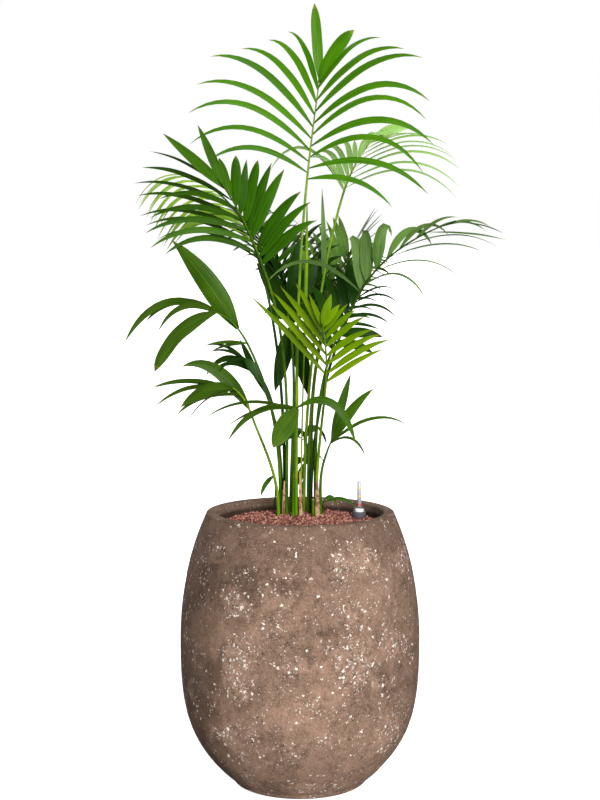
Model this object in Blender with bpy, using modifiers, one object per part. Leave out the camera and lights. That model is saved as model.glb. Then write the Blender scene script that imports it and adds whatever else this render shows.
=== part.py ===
"""Kentia palm in its round planter, built as separate closed solids.

Metres, +Z up. The origin is the middle of the planter's flat underside, and the
front of the plant faces -Y. Each frond is a stalk and a feather: a rib with blades
that start along it in a given heading, bend down under their weight and narrow to a
tip. Headings are an azimuth from +X towards +Y and a rise above level, in degrees.
"""

from collections import namedtuple
from math import cos, pi, radians, sin

import bmesh
import bpy
from mathutils import Quaternion, Vector
from mathutils.bvhtree import BVHTree

# Clearances
GAP = 0.0003
LEAF_CLEARANCE = 0.0005

# Planter: a turned bowl, widest at its belly
PLANTER_HEIGHT = 0.535
BELLY_RADIUS = 0.232
BELLY_HEIGHT = 0.285
SHOULDER_RADIUS = 0.1805
SHOULDER_POWER = 2.2
HEEL_RADIUS = 0.115
HEEL_POWER = 3.35
FOOT_RADIUS = 0.100
FOOT_ROUNDING = 0.012
MOUTH_RADIUS = 0.161
LIP_DEPTH = 0.013
WALL = 0.030
FLOOR = 0.030
PLANTER_SIDES = 36
LIP_STEPS = 6
OUTER_STEPS = 10
OUTER_SPACING_POWER = 0.8
INNER_HEIGHTS = (0.030, 0.120, 0.270, 0.420, 0.499)

# Inner pot and the growing medium that fills it
INNER_POT_RADIUS = 0.1450
INNER_POT_FOOT_RADIUS = 0.1120
INNER_POT_WALL = 0.003
INNER_POT_TOP = 0.504
MEDIUM_TOP = 0.519
MEDIUM_RING = 0.5115
MEDIUM_EDGE = 0.508
MEDIUM_FLAT_RADIUS = 0.094
MEDIUM_RING_RADIUS = 0.108
MEDIUM_BEVEL = 0.002
INNER_SIDES = 30

# Water gauge
GAUGE_PLACE = (0.116, 0.045)
GAUGE_BULB_RADIUS = 0.0130
GAUGE_BULB_HEIGHT = 0.024
GAUGE_SHOULDER_HEIGHT = 0.011
GAUGE_SHOULDER_STEPS = 4
GAUGE_NECK_RADIUS = 0.0055
GAUGE_TUBE_RADIUS = 0.0043
GAUGE_TOP = 0.586
GAUGE_SIDES = 14

# Stalks and ribs
STALK_FOOT_RADIUS = 0.0034
STALK_NECK_RADIUS = 0.0024
RIB_TIP_RADIUS = 0.0012
SHOOT_GIRTH = 0.5
STALK_UPRIGHT = 0.010
STALK_STIFFNESS = 0.35
STALK_POINTS = 8
RIB_POINTS = 6
COLLAR = 0.002

# Blades of the leaflets
BLADE_STEPS = 12
LONG_STATIONS = (0, 3, 6, 9)
SHORT_STATIONS = (0, 4, 8)
LONG_BLADE = 0.13
BLADE_BEND_POWER = 1.6
BLADE_WIDEST = 0.38
BLADE_ROOT_WIDTH = 0.16
BLADE_TIP_POWER = 2.2
BLADE_LENGTH_TO_THICKNESS = 80.0
BLADE_LEAST_THICKNESS = 0.0014
FIRST_ROOT = 0.06
LAST_ROOT = 0.97
ROOT_DEPTH = 0.0016

# Solver and welding distance tried in turn on a frond's union, and the least area of a face
UNION_TRIES = (
    ("MANIFOLD", 0.00003), ("MANIFOLD", 0.00001), ("MANIFOLD", 0.000003), ("MANIFOLD", 0.000001),
    ("EXACT", 0.00001), ("EXACT", 0.000001),
)
LEAST_FACE = 1e-12

# Small turns, azimuth and rise in degrees, tried on a blade that would touch another
NUDGES = (
    (0, 0), (0, 5), (0, -5), (6, 0), (-6, 0), (6, 6), (-6, 6), (6, -6), (-6, -6),
    (12, 0), (-12, 0), (0, 11), (0, -11), (12, 10), (-12, 10), (18, 0), (-18, 0),
)
SHORTENINGS = (1.0, 0.8, 0.6, 0.4)

# Base colours
STONE_BROWN = (0.21, 0.135, 0.095)
LINER_BLACK = (0.02, 0.02, 0.022)
CLAY_RED = (0.37, 0.13, 0.09)
CLEAR_GREY = (0.70, 0.70, 0.72)
STALK_GREEN = (0.16, 0.28, 0.02)
SHEATH_TAN = (0.42, 0.25, 0.14)
FRESH_GREEN = (0.06, 0.24, 0.008)
PALE_GREEN = (0.22, 0.45, 0.12)
DEEP_GREEN = (0.025, 0.12, 0.008)
SHADE_GREEN = (0.012, 0.05, 0.008)
YOUNG_GREEN = (0.30, 0.50, 0.005)

UP = Vector((0.0, 0.0, 1.0))

# A row of leaflets along one side of a rib. Each of neck, middle and tip gives the
# heading (azimuth, rise), length and droop of the leaflets there; width is given at
# the neck and the tip, face turns the blades about their own length, and span is
# the stretch of the rib that the row takes.
Row = namedtuple("Row", "count span width face neck middle tip")

# A row whose leaflets are set one by one: curves gives the rise, length and droop of
# each from the neck on; width and azimuth are given at the first and the last leaflet.
Fan = namedtuple("Fan", "span width face azimuth curves")

# A single leaflet: its root along the rib, heading, length, width, droop and face.
Blade = namedtuple("Blade", "root azimuth rise length width droop face")

# A frond: foot on the growing medium, then neck, middle and tip of its rib.
Frond = namedtuple("Frond", "name green foot neck middle tip rows fans blades", defaults=((), (), ()))

FRONDS = (
    Frond(
        "top", FRESH_GREEN, (-0.007, 0.030),
        (0.009, 0.050, 1.124), (0.019, 0.100, 1.235), (0.040, 0.170, 1.378),
        fans=(
            Fan((0.26, 0.89), (0.012, 0.021), 0, (188, 190), (
                (36, 0.215, 1.18), (39, 0.259, 1.21), (45, 0.272, 1.11), (47, 0.263, 0.91),
                (54, 0.256, 0.87), (61, 0.205, 0.90), (69, 0.164, 0.90), (76, 0.136, 0.90))),
            Fan((0.21, 0.91), (0.013, 0.021), 0, (-8, -8), (
                (10, 0.186, 1.29), (17, 0.256, 1.27), (33, 0.258, 1.70), (34, 0.265, 1.33),
                (44, 0.261, 1.43), (43, 0.259, 1.26), (48, 0.249, 0.90), (51, 0.211, 0.90),
                (58, 0.168, 0.90))),
        ),
        blades=(
            Blade(1.0, 180, 86, 0.150, 0.021, 0.00, 90),
            Blade(0.95, -10, 66, 0.118, 0.028, 0.80, 85),
        ),
    ),
    Frond(
        "right_back", PALE_GREEN, (0.008, 0.076),
        (0.085, 0.160, 1.143), (0.105, 0.220, 1.205), (0.148, 0.300, 1.256),
        rows=(
            Row(8, (0.08, 0.95), (0.022, 0.018), 0,
                (165, 58, 0.125, 1.2), (110, 72, 0.115, 2.2), (60, 68, 0.070, 2.0)),
            Row(8, (0.11, 0.92), (0.009, 0.010), 0,
                (-15, 28, 0.250, 1.35), (-10, 33, 0.220, 1.1), (-5, 28, 0.120, 0.9)),
        ),
        blades=(
            Blade(1.0, 5, 38, 0.110, 0.019, 0.6, 40),
            Blade(0.96, 20, 45, 0.090, 0.015, 0.8, 40),
            Blade(0.06, 175, 62, 0.210, 0.008, 1.7, 60),
        ),
    ),
    Frond(
        "left_front", DEEP_GREEN, (-0.026, 0.040),
        (-0.067, -0.050, 1.000), (-0.100, -0.090, 1.095), (-0.141, -0.160, 1.160),
        rows=(
            Row(8, (0.06, 0.90), (0.026, 0.022), 0,
                (-20, 62, 0.160, 1.0), (50, 76, 0.145, 1.5), (120, 72, 0.100, 0.9)),
            Row(8, (0.09, 0.88), (0.014, 0.015), 0,
                (176, 38, 0.215, 1.0), (176, 30, 0.215, 0.7), (180, 38, 0.160, 0.5)),
        ),
        blades=(
            Blade(1.0, 200, 62, 0.110, 0.015, 0.1, 75),
            Blade(0.92, 204, 42, 0.140, 0.019, 0.1, 50),
        ),
    ),
    Frond(
        "left_back", DEEP_GREEN, (-0.030, 0.053),
        (-0.085, 0.080, 1.030), (-0.125, 0.140, 1.150), (-0.235, 0.200, 1.185),
        rows=(
            Row(9, (0.10, 1.0), (0.010, 0.009), 0,
                (160, 38, 0.190, 1.3), (165, 25, 0.170, 1.8), (170, 8, 0.130, 1.3)),
            Row(9, (0.13, 0.94), (0.010, 0.009), 0,
                (200, 35, 0.190, 1.3), (195, 12, 0.170, 1.8), (190, 0, 0.130, 1.3)),
        ),
    ),
    Frond(
        "right", DEEP_GREEN, (0.021, 0.048),
        (0.108, -0.020, 0.946), (0.155, -0.060, 1.045), (0.285, -0.120, 1.092),
        rows=(
            Row(7, (0.10, 0.85), (0.022, 0.018), 0,
                (150, 75, 0.150, 1.5), (75, 76, 0.130, 2.2), (10, 35, 0.110, 1.3)),
        ),
        fans=(
            Fan((0.15, 0.95), (0.013, 0.010), 0, (-22, -10), (
                (36, 0.158, 2.24), (24, 0.188, 1.25), (27, 0.195, 0.90), (24, 0.194, 0.90),
                (11, 0.174, 0.48), (38, 0.120, 1.49), (35, 0.070, 0.90))),
        ),
        blades=(
            Blade(1.0, -5, 0, 0.100, 0.010, 0.5, 0),
            Blade(0.06, 175, 45, 0.210, 0.012, 1.5, 60),
        ),
    ),
    Frond(
        "young", YOUNG_GREEN, (0.031, 0.030),
        (0.048, -0.060, 0.779), (0.053, -0.100, 0.842), (0.040, -0.170, 0.908),
        fans=(
            Fan((0.20, 1.0), (0.019, 0.015), 0, (185, 180), (
                (49, 0.232, 0.15), (45, 0.179, 0.15), (43, 0.141, 0.15), (53, 0.126, 0.15),
                (60, 0.094, 0.15))),
            Fan((0.09, 0.95), (0.019, 0.015), 0, (-10, -10), (
                (38, 0.129, 0.35), (37, 0.137, 0.35), (39, 0.126, 0.35), (42, 0.110, 0.35),
                (51, 0.098, 0.35), (55, 0.085, 0.35), (67, 0.066, 0.35), (78, 0.062, 0.35))),
        ),
    ),
    Frond(
        "right_far", SHADE_GREEN, (0.016, 0.059),
        (0.043, 0.120, 0.877), (0.064, 0.180, 0.974), (0.100, 0.260, 1.020),
        rows=(
            Row(7, (0.06, 1.0), (0.028, 0.024), 0,
                (150, 60, 0.170, 0.5), (140, 70, 0.160, 0.5), (120, 75, 0.110, 0.5)),
            Row(7, (0.10, 0.94), (0.022, 0.014), 0,
                (10, 50, 0.140, 0.6), (20, 55, 0.160, 0.5), (30, 60, 0.130, 0.2)),
        ),
        blades=(
            Blade(0.2, 180, 88, 0.245, 0.012, 0.0, 90),
        ),
    ),
    Frond(
        "back", SHADE_GREEN, (-0.010, 0.050),
        (-0.012, 0.120, 0.877), (-0.024, 0.180, 0.974), (-0.050, 0.320, 1.030),
        rows=(
            Row(7, (0.06, 1.0), (0.028, 0.024), 0,
                (140, 55, 0.100, 0.7), (150, 65, 0.140, 0.7), (150, 60, 0.090, 0.5)),
            Row(7, (0.10, 0.94), (0.028, 0.024), 0,
                (0, 55, 0.130, 0.7), (10, 60, 0.150, 0.7), (30, 60, 0.090, 0.5)),
        ),
    ),
    Frond(
        "rear_left", DEEP_GREEN, (-0.018, 0.062),
        (-0.030, 0.150, 0.930), (-0.060, 0.230, 1.040), (-0.110, 0.380, 1.090),
        rows=(
            Row(7, (0.06, 1.0), (0.022, 0.020), 0,
                (110, 35, 0.120, 1.0), (150, 45, 0.140, 1.2), (150, 40, 0.100, 1.0)),
            Row(7, (0.10, 0.94), (0.022, 0.020), 0,
                (20, 45, 0.120, 1.0), (40, 45, 0.140, 1.2), (60, 40, 0.100, 1.0)),
        ),
    ),
    Frond(
        "rear_right", DEEP_GREEN, (0.022, 0.064),
        (0.045, 0.150, 0.860), (0.075, 0.240, 0.960), (0.120, 0.380, 0.990),
        rows=(
            Row(7, (0.06, 1.0), (0.022, 0.020), 0,
                (150, 50, 0.120, 1.0), (130, 50, 0.130, 1.2), (110, 40, 0.100, 1.0)),
            Row(7, (0.10, 0.94), (0.022, 0.020), 0,
                (0, 35, 0.100, 1.0), (20, 40, 0.120, 1.2), (30, 40, 0.100, 1.0)),
        ),
    ),
    Frond(
        "right_low", SHADE_GREEN, (0.030, 0.055),
        (0.060, 0.020, 0.840), (0.080, 0.050, 0.895), (0.115, 0.080, 0.945),
        rows=(
            Row(5, (0.06, 1.0), (0.026, 0.024), 0,
                (150, 62, 0.120, 0.6), (120, 70, 0.120, 0.6), (90, 65, 0.100, 0.6)),
            Row(4, (0.14, 0.92), (0.018, 0.014), 50,
                (-5, 5, 0.060, 0.5), (-5, 10, 0.080, 0.5), (-5, 15, 0.090, 0.4)),
        ),
    ),
    Frond(
        "left_mid", DEEP_GREEN, (-0.038, 0.040),
        (-0.096, -0.050, 0.856), (-0.122, -0.065, 0.912), (-0.159, -0.100, 0.924),
        blades=(
            Blade(0.38, 182, 60, 0.210, 0.044, 0.35, 95),
            Blade(1.0, 190, -8, 0.155, 0.036, 1.8, 65),
            Blade(0.93, 185, 12, 0.175, 0.015, 0.85, 40),
            Blade(0.80, 175, 25, 0.165, 0.014, 1.3, 40),
            Blade(0.88, 195, 12, 0.130, 0.012, 1.2, 40),
            Blade(0.06, 185, 14, 0.085, 0.006, 0.6, 60),
            Blade(0.13, 188, 2, 0.070, 0.006, 0.6, 60),
            Blade(0.18, -60, -50, 0.075, 0.024, 0.5, 80),
        ),
    ),
    Frond(
        "left_low", DEEP_GREEN, (-0.042, 0.028),
        (-0.093, -0.050, 0.730), (-0.105, -0.060, 0.765), (-0.126, -0.070, 0.780),
        blades=(
            Blade(0.15, 185, 58, 0.165, 0.026, 1.05, 90),
            Blade(1.0, 195, -5, 0.105, 0.030, 1.0, 70),
            Blade(0.86, 190, 15, 0.165, 0.013, 1.1, 40),
            Blade(0.76, 180, 20, 0.165, 0.012, 0.7, 40),
            Blade(0.93, 202, -5, 0.125, 0.009, 1.6, 40),
        ),
    ),
    Frond(
        "left_small", DEEP_GREEN, (-0.036, 0.062),
        (-0.080, -0.020, 0.796), (-0.095, -0.035, 0.825), (-0.108, -0.050, 0.837),
        blades=(
            Blade(1.0, 185, 5, 0.085, 0.022, 1.6, 60),
            Blade(0.7, 190, 15, 0.170, 0.015, 2.0, 40),
        ),
    ),
    Frond(
        "centre_low", FRESH_GREEN, (-0.013, 0.020),
        (-0.009, -0.060, 0.709), (-0.008, -0.070, 0.735), (-0.004, -0.080, 0.745),
        blades=(
            Blade(1.0, -5, 40, 0.175, 0.017, 3.4, 60),
            Blade(0.92, 185, 0, 0.160, 0.014, 1.8, 60),
            Blade(0.84, 200, -60, 0.090, 0.040, 0.3, 80),
            Blade(0.72, 190, 20, 0.185, 0.010, 1.0, 40),
        ),
    ),
    Frond(
        "right_front", FRESH_GREEN, (0.040, 0.040),
        (0.048, 0.000, 0.638), (0.055, -0.010, 0.662), (0.061, -0.020, 0.675),
        blades=(
            Blade(1.0, 0, 78, 0.130, 0.019, 0.1, 90),
            Blade(0.90, -5, 62, 0.128, 0.021, 0.5, 90),
            Blade(0.80, -10, 42, 0.168, 0.012, 1.1, 40),
            Blade(0.70, -20, 40, 0.095, 0.007, 2.4, 40),
        ),
    ),
    Frond(
        "rear_low", DEEP_GREEN, (0.000, 0.074),
        (0.010, 0.140, 0.600), (0.010, 0.170, 0.640), (0.008, 0.200, 0.655),
        blades=(
            Blade(1.0, 100, 20, 0.150, 0.022, 1.6, 30),
            Blade(0.92, 70, 25, 0.160, 0.020, 1.6, 30),
            Blade(0.8, 118, 15, 0.140, 0.020, 1.4, 30),
            Blade(0.4, 60, 0, 0.090, 0.018, 1.0, 30),
            Blade(0.2, 110, 0, 0.080, 0.018, 1.0, 30),
        ),
    ),
    Frond(
        "right_shoot", DEEP_GREEN, (0.044, 0.052),
        (0.044, 0.046, 0.538), (0.045, 0.043, 0.545), (0.047, 0.041, 0.549),
        blades=(
            Blade(1.0, -5, 55, 0.040, 0.007, 3.0, 60),
            Blade(0.50, -12, 28, 0.075, 0.008, 1.4, 45),
        ),
    ),
    Frond(
        "left_shoot", DEEP_GREEN, (-0.050, 0.046),
        (-0.049, 0.040, 0.570), (-0.050, 0.038, 0.580), (-0.052, 0.036, 0.584),
        blades=(
            Blade(1.0, 185, 20, 0.050, 0.008, 2.5, 60),
        ),
    ),
)

# Dry leaf bases on the growing medium: place, facing azimuth, width and height
DrySheath = namedtuple("DrySheath", "name place azimuth width height lean")

DRY_SHEATHS = (
    DrySheath("dry_sheath_left", (-0.0325, 0.022), -95, 0.0060, 0.072, 2.0),
    DrySheath("dry_sheath_middle", (0.0015, 0.020), -85, 0.0065, 0.092, -1.0),
    DrySheath("dry_sheath_right", (0.0345, 0.016), -80, 0.0100, 0.072, -1.5),
)
SHEATH_THICKNESS = 0.0024
SHEATH_BOW = 0.30
SHEATH_NARROWING = 0.55
SHEATH_LEVELS = 4

# The rolled leaf that has not opened yet, and the stub of a stalk that was cut off
SPEAR_FOOT = (0.002, 0.046)
SPEAR_TIP = (0.0135, 0.066, 1.128)
SPEAR_RADIUS = 0.0046
SPEAR_STALK_RADIUS = 0.0020
SPEAR_TIP_RADIUS = 0.0012
SPEAR_START = 0.55
STUB_PLACE = (0.0255, 0.018)
STUB_RADIUS = 0.0026
STUB_HEIGHT = 0.036


def clear_scene():
    """Take every object out of the scene."""
    for thing in list(bpy.data.objects):
        bpy.data.objects.remove(thing)


def new_collection(name):
    """Make a collection under the scene's own."""
    made = bpy.data.collections.new(name)
    bpy.context.scene.collection.children.link(made)
    return made


def material(name, colour, roughness, metallic=0.0):
    """Make a plain Principled BSDF material."""
    made = bpy.data.materials.new(name)
    made.use_nodes = True
    shader = made.node_tree.nodes["Principled BSDF"]
    shader.inputs["Base Color"].default_value = (*colour, 1.0)
    shader.inputs["Roughness"].default_value = roughness
    shader.inputs["Metallic"].default_value = metallic
    return made


def place(name, data, collection, finish):
    """Put mesh or curve data in the collection as an object with one material."""
    data.materials.clear()
    data.materials.append(finish)
    thing = bpy.data.objects.new(name, data)
    collection.objects.link(thing)
    return thing


def heading(azimuth, rise):
    """Unit vector of an azimuth and a rise, both in degrees."""
    level = cos(radians(rise))
    return Vector((cos(radians(azimuth)) * level, sin(radians(azimuth)) * level, sin(radians(rise))))


def turned(name, profile, sides, collection, finish):
    """Turn a profile of (radius, height) about Z with a Screw modifier."""
    mesh = bpy.data.meshes.new(name)
    points = [(radius, 0.0, height) for radius, height in profile]
    edges = [(index, index + 1) for index in range(len(points) - 1)]
    mesh.from_pydata(points, edges, [])
    thing = place(name, mesh, collection, finish)
    screw = thing.modifiers.new("turn", "SCREW")
    screw.steps = sides
    screw.render_steps = sides
    screw.use_merge_vertices = True
    screw.merge_threshold = 0.00005
    screw.use_smooth_shade = True
    return thing


def planter_radius(height):
    """Outer radius of the planter at a height above its underside."""
    if height > BELLY_HEIGHT:
        share = (height - BELLY_HEIGHT) / (PLANTER_HEIGHT - BELLY_HEIGHT)
        return BELLY_RADIUS - (BELLY_RADIUS - SHOULDER_RADIUS) * share ** SHOULDER_POWER
    share = (BELLY_HEIGHT - height) / BELLY_HEIGHT
    return BELLY_RADIUS - (BELLY_RADIUS - HEEL_RADIUS) * share ** HEEL_POWER


def planter_profile():
    """Profile of the planter from the middle of its inner floor, over the lip, to the foot."""
    lip_middle = (MOUTH_RADIUS + SHOULDER_RADIUS) / 2.0
    lip_half = (SHOULDER_RADIUS - MOUTH_RADIUS) / 2.0
    shoulder = PLANTER_HEIGHT - LIP_DEPTH
    profile = [(0.0, FLOOR)]
    for height in INNER_HEIGHTS:
        profile.append((planter_radius(height) - WALL, height))
    for step in range(LIP_STEPS + 1):
        angle = pi - step * pi / LIP_STEPS
        outward = cos(angle)
        reach = planter_radius(shoulder) - lip_middle if outward > 0.0 else lip_half
        profile.append((lip_middle + reach * outward, shoulder + LIP_DEPTH * sin(angle)))
    for step in range(1, OUTER_STEPS + 1):
        # Closer together near the foot, where the outline turns most
        share = (step / OUTER_STEPS) ** OUTER_SPACING_POWER
        height = shoulder + (FOOT_ROUNDING - shoulder) * share
        profile.append((planter_radius(height), height))
    heel = planter_radius(FOOT_ROUNDING)
    profile.append((FOOT_RADIUS + (heel - FOOT_RADIUS) * 0.6, FOOT_ROUNDING * 0.3))
    profile.append((FOOT_RADIUS, 0.0))
    profile.append((0.0, 0.0))
    return profile


def build_planter(collection):
    """The planter, its inner pot and the growing medium."""
    turned("planter", planter_profile(), PLANTER_SIDES, collection,
           material("planter_stone", STONE_BROWN, 0.75))
    bottom = FLOOR + GAP
    inside = INNER_POT_RADIUS - INNER_POT_WALL
    foot_inside = INNER_POT_FOOT_RADIUS - INNER_POT_WALL
    cup = (
        (0.0, bottom + INNER_POT_WALL), (foot_inside, bottom + INNER_POT_WALL), (inside, INNER_POT_TOP),
        (INNER_POT_RADIUS, INNER_POT_TOP), (INNER_POT_FOOT_RADIUS, bottom), (0.0, bottom),
    )
    turned("inner_pot", cup, INNER_SIDES, collection, material("liner_plastic", LINER_BLACK, 0.5))
    fill = inside - GAP
    bed_bottom = bottom + INNER_POT_WALL + GAP
    bed = (
        (0.0, MEDIUM_TOP), (MEDIUM_FLAT_RADIUS, MEDIUM_TOP), (MEDIUM_RING_RADIUS, MEDIUM_RING),
        (fill - MEDIUM_BEVEL, MEDIUM_RING), (fill, MEDIUM_EDGE), (foot_inside - GAP, bed_bottom),
        (0.0, bed_bottom),
    )
    turned("growing_medium", bed, INNER_SIDES, collection, material("clay_granules", CLAY_RED, 0.9))


def build_gauge(collection):
    """The water gauge: a bulb on the growing medium with a tube above it."""
    finish = material("gauge_clear", CLEAR_GREY, 0.15)
    base = MEDIUM_RING + GAP
    shoulder = base + GAUGE_BULB_HEIGHT
    bulb = [(0.0, shoulder)]
    for step in range(GAUGE_SHOULDER_STEPS + 1):
        angle = step * pi / 2.0 / GAUGE_SHOULDER_STEPS
        bulb.append((
            GAUGE_NECK_RADIUS + (GAUGE_BULB_RADIUS - GAUGE_NECK_RADIUS) * sin(angle),
            shoulder - GAUGE_SHOULDER_HEIGHT * (1.0 - cos(angle)),
        ))
    bulb += [(GAUGE_BULB_RADIUS, base), (0.0, base)]
    tube_foot = shoulder + GAP
    tube = (
        (0.0, GAUGE_TOP), (GAUGE_TUBE_RADIUS * 0.8, GAUGE_TOP), (GAUGE_TUBE_RADIUS, GAUGE_TOP - 0.001),
        (GAUGE_TUBE_RADIUS, tube_foot), (0.0, tube_foot),
    )
    for name, profile in (("water_gauge_bulb", bulb), ("water_gauge_tube", tube)):
        gauge = turned(name, profile, GAUGE_SIDES, collection, finish)
        gauge.location = (*GAUGE_PLACE, 0.0)


def tapered_tube(name, points, radii, collection, finish):
    """A tube along the points, with a radius at each, as a curve with filled caps."""
    curve = bpy.data.curves.new(name, "CURVE")
    curve.dimensions = "3D"
    curve.bevel_depth = 1.0
    curve.bevel_resolution = 1
    curve.use_fill_caps = True
    curve.twist_mode = "MINIMUM"
    line = curve.splines.new("POLY")
    line.points.add(len(points) - 1)
    for target, point, radius in zip(line.points, points, radii):
        target.co = (*point, 1.0)
        target.radius = radius
    return place(name, curve, collection, finish)


def as_mesh(curve_object):
    """Change a curve object for a mesh object of the same name, its caps welded."""
    graph = bpy.context.evaluated_depsgraph_get()
    mesh = bpy.data.meshes.new_from_object(curve_object.evaluated_get(graph))
    welded = bmesh.new()
    welded.from_mesh(mesh)
    bmesh.ops.remove_doubles(welded, verts=welded.verts, dist=0.00001)
    welded.to_mesh(mesh)
    welded.free()
    name = curve_object.name
    holder = curve_object.users_collection[0]
    matrix = curve_object.matrix_world.copy()
    bpy.data.objects.remove(curve_object)
    thing = bpy.data.objects.new(name, mesh)
    thing.matrix_world = matrix
    holder.objects.link(thing)
    return thing


def stalk_points(foot, neck, arrival):
    """Points of a stalk that rises upright from its foot and meets the neck along arrival."""
    bottom = Vector((*foot, MEDIUM_TOP + GAP))
    start = bottom + UP * STALK_UPRIGHT
    end = Vector(neck) - arrival * COLLAR
    handle = (end - start).length * STALK_STIFFNESS
    low = start + UP * handle
    high = end - arrival * handle
    points = [bottom]
    for step in range(STALK_POINTS):
        t = step / (STALK_POINTS - 1)
        s = 1.0 - t
        points.append(s ** 3 * start + 3 * s * s * t * low + 3 * s * t * t * high + t ** 3 * end)
    return points + [Vector(neck)]


def rib_point(frond, along):
    """Point of a frond's rib, from 0 at the neck to 1 at the tip."""
    rest = 1.0 - along
    neck, middle, tip = Vector(frond.neck), Vector(frond.middle), Vector(frond.tip)
    return rest * rest * neck + 2.0 * rest * along * middle + along * along * tip


def rib_direction(frond, along):
    """Unit tangent of a frond's rib."""
    neck, middle, tip = Vector(frond.neck), Vector(frond.middle), Vector(frond.tip)
    return ((1.0 - along) * (middle - neck) + along * (tip - middle)).normalized()


def girth(frond):
    """Share of the full thickness that a frond's stalk and rib have."""
    return SHOOT_GIRTH if frond.name.endswith("shoot") else 1.0


def build_stalk(frond, collection, finish):
    """The stalk of a frond, from the growing medium to the neck."""
    points = stalk_points(frond.foot, frond.neck, rib_direction(frond, 0.0))
    spread = STALK_NECK_RADIUS - STALK_FOOT_RADIUS
    last = len(points) - 1
    radii = [girth(frond) * (STALK_FOOT_RADIUS + spread * index / last) for index in range(len(points))]
    return as_mesh(tapered_tube("stalk_" + frond.name, points, radii, collection, finish))


def build_rib(frond, collection, finish):
    """The rib of a frond, which starts a hair's breadth past its stalk."""
    start = Vector(frond.neck)
    outward = rib_direction(frond, 0.0)
    points = [start + outward * GAP, start + outward * COLLAR]
    radii = [girth(frond) * STALK_NECK_RADIUS] * 2
    for step in range(1, RIB_POINTS):
        along = step / (RIB_POINTS - 1)
        points.append(rib_point(frond, along))
        radii.append(girth(frond) * (STALK_NECK_RADIUS + (RIB_TIP_RADIUS - STALK_NECK_RADIUS) * along))
    return as_mesh(tapered_tube("frond_" + frond.name, points, radii, collection, finish))


def between(neck, middle, tip, along):
    """Value at a place along a rib, through the values at its neck, middle and tip."""
    rest = 1.0 - along
    return neck * rest * (rest - along) + middle * 4.0 * along * rest + tip * along * (along - rest)


def flat_across(frond, root, direction, face):
    """Width direction of a leaflet in the plane of the rib, turned by face about its length."""
    tangent = rib_direction(frond, root)
    flat = (tangent - direction * tangent.dot(direction)).normalized()
    return Quaternion(direction, radians(face)) @ flat


def row_blades(frond, row):
    """The leaflets that a row stands for: root, direction, width direction, length, width, droop."""
    leaflets = []
    keys = (row.neck, row.middle, row.tip)
    for index in range(row.count):
        share = index / (row.count - 1)
        root = row.span[0] + (row.span[1] - row.span[0]) * share
        headings = [heading(key[0], key[1]) for key in keys]
        direction = between(*headings, share).normalized()
        length = between(*[key[2] for key in keys], share)
        droop = between(*[key[3] for key in keys], share)
        width = row.width[0] + (row.width[1] - row.width[0]) * share
        across = flat_across(frond, root, direction, row.face)
        leaflets.append((root, direction, across, length, width, droop))
    return leaflets


def fan_blades(frond, fan):
    """The leaflets of a fan, in the same terms as those of a row."""
    leaflets = []
    for index, (rise, length, droop) in enumerate(fan.curves):
        share = index / (len(fan.curves) - 1)
        root = fan.span[0] + (fan.span[1] - fan.span[0]) * share
        width = fan.width[0] + (fan.width[1] - fan.width[0]) * share
        direction = heading(fan.azimuth[0] + (fan.azimuth[1] - fan.azimuth[0]) * share, rise)
        across = flat_across(frond, root, direction, fan.face)
        leaflets.append((root, direction, across, length, width, droop))
    return leaflets


def single_blades(frond):
    """The leaflets of a frond that are placed one by one."""
    leaflets = []
    for blade in frond.blades:
        direction = heading(blade.azimuth, blade.rise)
        across = Quaternion(direction, radians(blade.face)) @ direction.cross(UP).normalized()
        leaflets.append((blade.root, direction, across, blade.length, blade.width, blade.droop))
    return leaflets


def blade_width(along):
    """Width of a blade along its length, as a share of its widest."""
    if along < BLADE_WIDEST:
        return BLADE_ROOT_WIDTH + (1.0 - BLADE_ROOT_WIDTH) * sin(along / BLADE_WIDEST * pi / 2.0)
    return 1.0 - ((along - BLADE_WIDEST) / (1.0 - BLADE_WIDEST)) ** BLADE_TIP_POWER


def blade_path(root, direction, across, length, droop):
    """Points and width directions of a blade that bends down towards its tip."""
    point = root.copy()
    side = across.copy()
    forward = direction.copy()
    path = [(point.copy(), side.copy(), forward.copy())]
    for step in range(1, BLADE_STEPS + 1):
        along = step / BLADE_STEPS
        bent = (direction - UP * droop * along ** BLADE_BEND_POWER).normalized()
        side = forward.rotation_difference(bent) @ side
        forward = bent
        point = point + forward * length / BLADE_STEPS
        path.append((point.copy(), side.copy(), forward.copy()))
    return path


def blade_mesh(path, length, width, margin=0.0):
    """A blade as a loft of three-cornered sections along its path, closed to a point."""
    thickness = max(length / BLADE_LENGTH_TO_THICKNESS, BLADE_LEAST_THICKNESS)
    loft = bmesh.new()
    sections = []
    for station in LONG_STATIONS if length > LONG_BLADE else SHORT_STATIONS:
        point, side, forward = path[station]
        normal = forward.cross(side)
        share = blade_width(station / BLADE_STEPS)
        half = side * (width * share / 2.0 + margin)
        depth = thickness * (0.45 + 0.55 * share)
        corners = (point - half, point - normal * (depth + margin), point + half)
        lift = normal * margin
        sections.append([loft.verts.new(corner + lift) for corner in corners])
    tip = loft.verts.new(path[-1][0] + path[-1][2] * margin)
    loft.faces.new(sections[0])
    for near, far in zip(sections, sections[1:]):
        for corner in range(3):
            following = (corner + 1) % 3
            loft.faces.new((near[following], near[corner], far[corner], far[following]))
    last = sections[-1]
    for corner in range(3):
        loft.faces.new((last[(corner + 1) % 3], last[corner], tip))
    bmesh.ops.triangulate(loft, faces=[face for face in loft.faces if len(face.verts) > 3])
    bmesh.ops.recalc_face_normals(loft, faces=loft.faces)
    return loft


def object_tree(thing):
    """Search tree of a mesh object's faces in world space."""
    faces = bmesh.new()
    faces.from_mesh(thing.data)
    faces.transform(thing.matrix_world)
    tree = BVHTree.FromBMesh(faces)
    faces.free()
    return tree


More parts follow.
